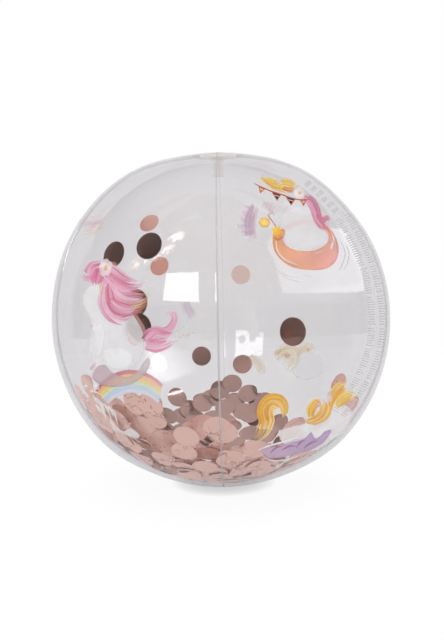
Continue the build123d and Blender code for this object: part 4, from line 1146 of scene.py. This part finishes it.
def ripples():
    # thin water lines round the swim ring
    pale = lin((188, 190, 198))
    for path in ([(275, 265), (280, 273), (290, 279), (300, 282)], [(277, 268), (286, 275), (298, 278)],
                 [(299, 274), (305, 275.5), (312, 276.5)], [(271, 256), (272, 263), (276, 270)],
                 [(340, 241), (344, 248), (345, 256), (342, 265), (339, 271)], [(345.5, 243), (349, 253), (347.5, 263), (344, 269)]):
        w = [0.3] + [0.75] * (len(path) - 2) + [0.3]
        art_stroke(path, w, pale, pale, 0.2, 0.5, 4)


def backs():
    # the panels behind: their prints, faint through the white under-print
    art_hair([(256, 206), (252, 214), (250, 224), (251, 236), (248, 243)], [7, 9, 9, 8, 3], LILACS + ROSES[:2], 9, 3, 0.62, 51, 0.15)
    for k, (x, y) in enumerate([(250, 207), (247, 213), (245, 219), (243, 225), (246, 232)]):
        art_hair([(254, y - 1), (x - 1, y + 1), (x - 6, y - 3)], [5, 5, 1.5], LILACS + ROSES[:1], 4, 4, 0.6, 60 + k)
    art_hair([(262, 204), (268, 206), (274, 212), (276, 218)], [5, 7, 6, 2], LILACS + AMBERS[1:2], 6, 3, 0.55, 52)
    art_fill(smooth_loop([(256, 208), (268, 209), (278, 215), (282, 226), (276, 240), (264, 246), (256, 238), (254, 222)], 6), WHITE, 0, 0.35)
    art_hair([(74, 218), (82, 222), (92, 222), (101, 219), (106, 213)], [3, 9, 10, 8, 2], PINK_PALE + AMBERS[:1] + LILACS[:1], 9, 3, 0.6, 53)
    art_hair([(84, 235), (94, 230), (101, 223), (106, 217)], [7, 9, 6, 2], PINK_PALE + [GOLDS[4]], 7, 3.5, 0.6, 54)
    art_fill(smooth_loop([(140, 282), (155, 286), (172, 300), (186, 303), (188, 322), (172, 334), (156, 330), (144, 316), (138, 300)], 6), WHITE, 0, 0.42)
    art_hair([(139, 314), (138, 307), (143, 304), (147, 308)], [2, 4, 4, 1.5], LILACS, 5, 3, 0.6, 55)
    art_hair([(186, 300), (187, 307), (191, 314), (190, 321)], [7, 8, 7, 3], LILACS, 6, 3, 0.5, 56)
    art_hair([(132, 292), (140, 296), (149, 296), (146, 302)], [3, 7, 6, 2], [GOLDS[4], lin((236, 226, 180))], 6, 3, 0.6, 57)
    for x, y in ((168, 345), (175, 341), (181, 336), (188, 334), (195, 331)):
        art_fill(smooth_loop([(x - 3, y + 2), (x, y - 1), (x + 3.4, y - 2), (x, y + 2.2)], 4), GOLDS[4], 3, 0.62, 4)
    art_hair([(276, 358), (284, 352), (292, 353), (290, 364), (284, 372)], [6, 13, 15, 12, 4], [GOLDS[4], GOLDS[2], lin((250, 226, 190))], 10, 3, 0.6, 58)
    art_hair([(273, 354), (282, 351), (292, 349)], [3, 6, 3], [GOLDS[4], AMBERS[2]], 5, 3.6, 0.55, 59)
    art_hair([(298, 354), (304, 348), (311, 349), (306, 355)], [3, 8, 7, 2], [GOLDS[4], GOLDS[2]], 6, 3, 0.55, 61)
    art_fill(smooth_loop([(299, 352), (312, 352), (322, 360), (322, 372), (309, 380), (296, 377), (292, 366)], 6), WHITE, 0, 0.45)
    art_hair([(249, 356), (256, 361), (261, 369), (261, 376)], [7, 8, 7, 3], [lin((248, 222, 190)), GOLDS[4]], 7, 3, 0.6, 62)
    rainbow((112, 382, 26, 150, 40), (113, 388, 20, 142, 44), 1, 0.3)
    art_fill(puff(109, 330, 18, 12, 7, 0.15, 0.2, seed=71), WHITE, 0, 0.5)


def flush_art(name, view_az, far=False):
    # joins the waiting art into one thin closed piece on the film
    V, F, Ccol, und = [], [], [], []
    for v, faces, col, layer in ART:
        az, th = to_film(v[:, 0], v[:, 1], view_az, far)
        top = film_p(az, th, 0.12 + 0.05 * layer)
        bot = film_p(az, th, 0.08 + 0.05 * layer)
        n0 = len(V)
        n = len(v)
        V.extend(top)
        V.extend(bot)
        Ccol.extend(col)
        Ccol.extend(col)
        und.extend([0.0] * n + [1.0] * n)
        edge = {}
        for f in faces:
            F.append(tuple(n0 + i for i in f))
            F.append(tuple(n0 + n + i for i in f[::-1]))
            for a, b in zip(f, f[1:] + f[:1]):
                edge[(a, b)] = edge.get((a, b), 0) + 1
        for (a, b) in edge:
            if (b, a) not in edge:
                F.append((n0 + b, n0 + a, n0 + n + a, n0 + n + b))
    ob = new_mesh(name, V, F)
    bm = bmesh.new()
    bm.from_mesh(ob.data)
    bmesh.ops.recalc_face_normals(bm, faces=bm.faces)
    bm.to_mesh(ob.data)
    bm.free()
    color_attr(ob, "ink", np.array(Ccol))
    point_attr(ob, "under", und)
    ob.data.materials.append(INK)
    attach(ob, "ball_skin")
    ART.clear()
    return ob


clouds_with_ribbons()
flush_art("print_front_left", AZ0)
ring_and_drink()
gold_streamers_and_cloud()
side_bars()
ripples()
flush_art("print_front_right", AZ0)
backs()
flush_art("print_back", AZ0, True)


# -------------------------------------------------------------- floor and light
bm = bmesh.new()
bmesh.ops.create_circle(bm, cap_ends=True, segments=128, radius=1.55)
me = bpy.data.meshes.new("floor")
bm.to_mesh(me)
bm.free()
floor = bpy.data.objects.new("floor", me)
SC.collection.objects.link(floor)
floor.location = (0, 0.0, -0.0006)
mat, N, out = material("floor_white")
df = N.n("ShaderNodeBsdfDiffuse")
df.inputs["Color"].default_value = (0.07, 0.07, 0.07, 1)
em = N.n("ShaderNodeEmission")
em.inputs["Color"].default_value = (1.0, 1.0, 1.0, 1)
# painted contact shadow: ambient occlusion close under the ball dims the floor's glow
ao = N.n("ShaderNodeAmbientOcclusion")
ao.samples = 12
ao.inputs["Distance"].default_value = 0.011
# painted reflection shade: as mirrored by the film, the floor in front of the ball glows less; the dimmed band reaches
# nearer the ball in the near film than in what lies behind it
lp = N.n("ShaderNodeLightPath")
beyond = N.step(lp.outputs["Transparent Depth"], 0.3, 0.7)
sp = N.n("ShaderNodeSeparateXYZ")
N.put(sp.inputs[0], N.n("ShaderNodeNewGeometry").outputs["Position"])
dim = N.mix(beyond, N.m("SUBTRACT", 1.0, N.step(sp.outputs[1], -0.25, 0.15)),
            N.m("MULTIPLY", N.m("SUBTRACT", 1.0, N.step(sp.outputs[1], -0.60, -0.25)), 1.1), "FLOAT")
painted_reflection_shade = N.m("MULTIPLY", lp.outputs["Is Glossy Ray"], dim)
glow_with_painted_shadow = N.m("ADD", 0.58, N.m("MULTIPLY", ao.outputs["AO"], 0.35))
N.put(em.inputs["Strength"], N.m("MULTIPLY", glow_with_painted_shadow, N.m("SUBTRACT", 1.0, N.m("MULTIPLY", painted_reflection_shade, 0.58))))
ad = N.n("ShaderNodeAddShader")
N.put(ad.inputs[0], df.outputs[0])
N.put(ad.inputs[1], em.outputs[0])
N.put(out.inputs["Surface"], ad.outputs[0])
floor.data.materials.append(mat)

w = bpy.data.worlds.new("studio")
SC.world = w
w.use_nodes = True
w.node_tree.nodes.clear()
N = Nodes(w.node_tree)
wout = N.n("ShaderNodeOutputWorld")
tc = N.n("ShaderNodeTexCoord")
D = N.v("NORMALIZE", tc.outputs["Generated"])
sep = N.n("ShaderNodeSeparateXYZ")
N.put(sep.inputs[0], D)
X, Y, Z = sep.outputs
AZI = N.m("MULTIPLY", N.m("ARCTAN2", X, N.m("MULTIPLY", Y, -1.0)), 57.29578)
ELV = N.m("MULTIPLY", N.m("ARCSINE", Z), 57.29578)


def quad_mask(corners, soft=1.0):
    # corners in (azimuth, elevation) degrees, counter-clockwise; 1 inside
    mask = None
    for (x0, y0), (x1, y1) in zip(corners, corners[1:] + corners[:1]):
        dx, dy = x1 - x0, y1 - y0
        L = math.hypot(dx, dy)
        # signed distance to the left of the edge
        s = N.m("SUBTRACT", N.m("MULTIPLY", N.m("SUBTRACT", ELV, y0), dx / L),
                N.m("MULTIPLY", N.m("SUBTRACT", AZI, x0), dy / L))
        e = N.step(s, -soft, soft)
        mask = e if mask is None else N.m("MULTIPLY", mask, e)
    return mask


# mirror-like surfaces see a dark studio with a pale backdrop and soft boxes;
# the near film and what lies behind it see them from different places
room = N.m("ADD", 0.045, N.m("MULTIPLY", N.step(Y, -0.9, 0.6), 0.14))
room = N.m("ADD", room, N.m("MULTIPLY", N.step(Z, 0.60, 0.98), 0.66))
absaz = N.m("ABSOLUTE", AZI)
edge_el = N.m("ADD", 31.0, N.m("MULTIPLY", N.m("SUBTRACT", absaz, 120.0), 0.5))
bd = N.m("MULTIPLY", N.step(N.m("SUBTRACT", edge_el, ELV), -2.0, 2.0), N.step(absaz, 106.0, 118.0))
room = N.mix(bd, room, 1.0, "FLOAT")
big = quad_mask([(42, 16.4), (110, 8.4), (126, 29.5), (102, 41.5), (62, 54), (42, 48)], 0.7)
shade = N.m("ADD", 1.16, N.m("MULTIPLY", N.m("SUBTRACT", 40.0, ELV), 0.006))
shade = N.m("ADD", shade, N.m("MULTIPLY", N.step(AZI, 58.0, 84.0), 0.55))
lip = N.m("MULTIPLY", N.m("SUBTRACT", 1.0, N.step(N.m("ADD", ELV, N.m("MULTIPLY", AZI, 0.0972)), 21.0, 23.4)), N.step(AZI, 50.0, 70.0))
shade = N.m("ADD", shade, N.m("MULTIPLY", lip, 0.60))
near = N.m("ADD", room, N.m("MULTIPLY", big, shade))
key = quad_mask([(-36, 13), (-12.0, 12.5), (-13.0, 31), (-37, 29)], 0.5)
near = N.m("ADD", near, N.m("MULTIPLY", key, 5.5))
# a thin broken glint along one side
rim = quad_mask([(-150, 13.0), (-140.5, 7.0), (-139, 8.6), (-148.5, 15.4)], 0.5)
near = N.m("ADD", near, N.m("MULTIPLY", N.m("MULTIPLY", rim, N.step(N.noise(D, 45.0, 2.0), 0.42, 0.55)), 2.2))
key2 = quad_mask([(-33, 13), (-9.5, 12.5), (-10.5, 31), (-34, 29)], 0.6)
far = N.m("ADD", room, N.m("MULTIPLY", key2, 6.0))
da = N.m("MULTIPLY", N.m("SUBTRACT", AZI, 58.0), 0.87)
de = N.m("SUBTRACT", ELV, 30.0)
rad = N.m("SQRT", N.m("ADD", N.m("MULTIPLY", da, da), N.m("MULTIPLY", de, de)))
lamp = N.m("SUBTRACT", 1.0, N.step(rad, 5.2, 7.0))
far = N.m("ADD", far, N.m("MULTIPLY", lamp, 4.5))
haze = N.m("SUBTRACT", 1.0, N.step(rad, 7.0, 24.0))
far = N.m("ADD", far, N.m("MULTIPLY", haze, 1.0))
# the pale fan beside the lamp
fan = quad_mask([(41, 19.5), (64, 18.5), (73, 37), (57, 43.5), (24.5, 41.5), (28, 27)], 2.2)
fan = N.m("MULTIPLY", fan, N.m("ADD", 0.7, N.m("ADD", N.m("MULTIPLY", N.m("SUBTRACT", AZI, 30.0), 0.10),
                                               N.m("MULTIPLY", N.m("SUBTRACT", ELV, 24.0), 0.06))))
far = N.m("ADD", far, fan)
# a broken warm glint thrown by the foil
nzv = N.noise(D, 16.0, 3.0, 0.6)
glint = None
for ax, ex, ux, uy, la, lb in ((-51.0, 37.5, 0.87, 0.49, 21.0, 4.6), (-39.0, 51.5, 0.94, 0.34, 8.5, 4.6)):
    qa, qe = N.m("SUBTRACT", AZI, ax), N.m("SUBTRACT", ELV, ex)
    ga = N.m("ADD", N.m("MULTIPLY", qa, ux / la), N.m("MULTIPLY", qe, uy / la))
    ge = N.m("SUBTRACT", N.m("MULTIPLY", qe, ux / lb), N.m("MULTIPLY", qa, uy / lb))
    gr = N.m("SQRT", N.m("ADD", N.m("MULTIPLY", ga, ga), N.m("MULTIPLY", ge, ge)))
    one = N.m("SUBTRACT", 1.0, N.step(gr, 0.35, 1.1))
    glint = one if glint is None else N.m("MAXIMUM", glint, one)
glint = N.m("MULTIPLY", glint, N.step(nzv, 0.41, 0.56))
# none where the foil disc behind that spot hides it
ha = N.m("MULTIPLY", N.m("SUBTRACT", AZI, -57.7), 0.75)
he = N.m("SUBTRACT", ELV, 43.2)
hr = N.m("SQRT", N.m("ADD", N.m("MULTIPLY", ha, ha), N.m("MULTIPLY", he, he)))
glint = N.m("MULTIPLY", glint, N.step(hr, 8.6, 9.8))
lp = N.n("ShaderNodeLightPath")
is_far = N.step(lp.outputs["Transparent Depth"], 0.3, 0.7)
env = N.mix(is_far, near, far, "FLOAT")
amb = N.m("ADD", 1.10, N.m("MULTIPLY", N.step(Z, -0.2, 1.0), 0.25))
val = N.mix(lp.outputs["Is Glossy Ray"], amb, env, "FLOAT")
val = N.mix(lp.outputs["Is Camera Ray"], val, 1.0, "FLOAT")
only = N.m("MULTIPLY", lp.outputs["Is Glossy Ray"], N.m("SUBTRACT", 1.0, is_far))
gl = N.m("MULTIPLY", N.m("MULTIPLY", glint, only), 6.0)
rgb = N.n("ShaderNodeCombineColor")
for i, k in enumerate((1.0, 0.84, 0.72)):
    N.put(rgb.inputs[i], N.m("ADD", val, N.m("MULTIPLY", gl, k)))
bg = N.n("ShaderNodeBackground")
N.put(bg.inputs["Color"], rgb.outputs[0])
bg.inputs["Strength"].default_value = 1.0
N.put(wout.inputs["Surface"], bg.outputs[0])
w.cycles.sampling_method = "NONE"

ld = bpy.data.lights.new("soft_key", "AREA")
ld.shape = "DISK"
ld.size = 1.1
ld.energy = 5.0
ld.color = (1.0, 0.99, 0.98)
lo = bpy.data.objects.new("soft_key", ld)
SC.collection.objects.link(lo)
lo.location = (-1.0, -0.5, 1.9)
lo.rotation_euler = (Vector((0, 0, 0.1)) - lo.location).to_track_quat("-Z", "Y").to_euler()
lo.visible_glossy = False
lo.visible_camera = False

SC.view_settings.view_transform = "Standard"
SC.view_settings.look = "None"
SC.cycles.transparent_max_bounces = 64
SC.cycles.max_bounces = 12
SC.cycles.glossy_bounces = 6
SC.cycles.diffuse_bounces = 4
SC.cycles.sample_clamp_indirect = 6.0
SC.cycles.caustics_reflective = False
SC.cycles.caustics_refractive = False
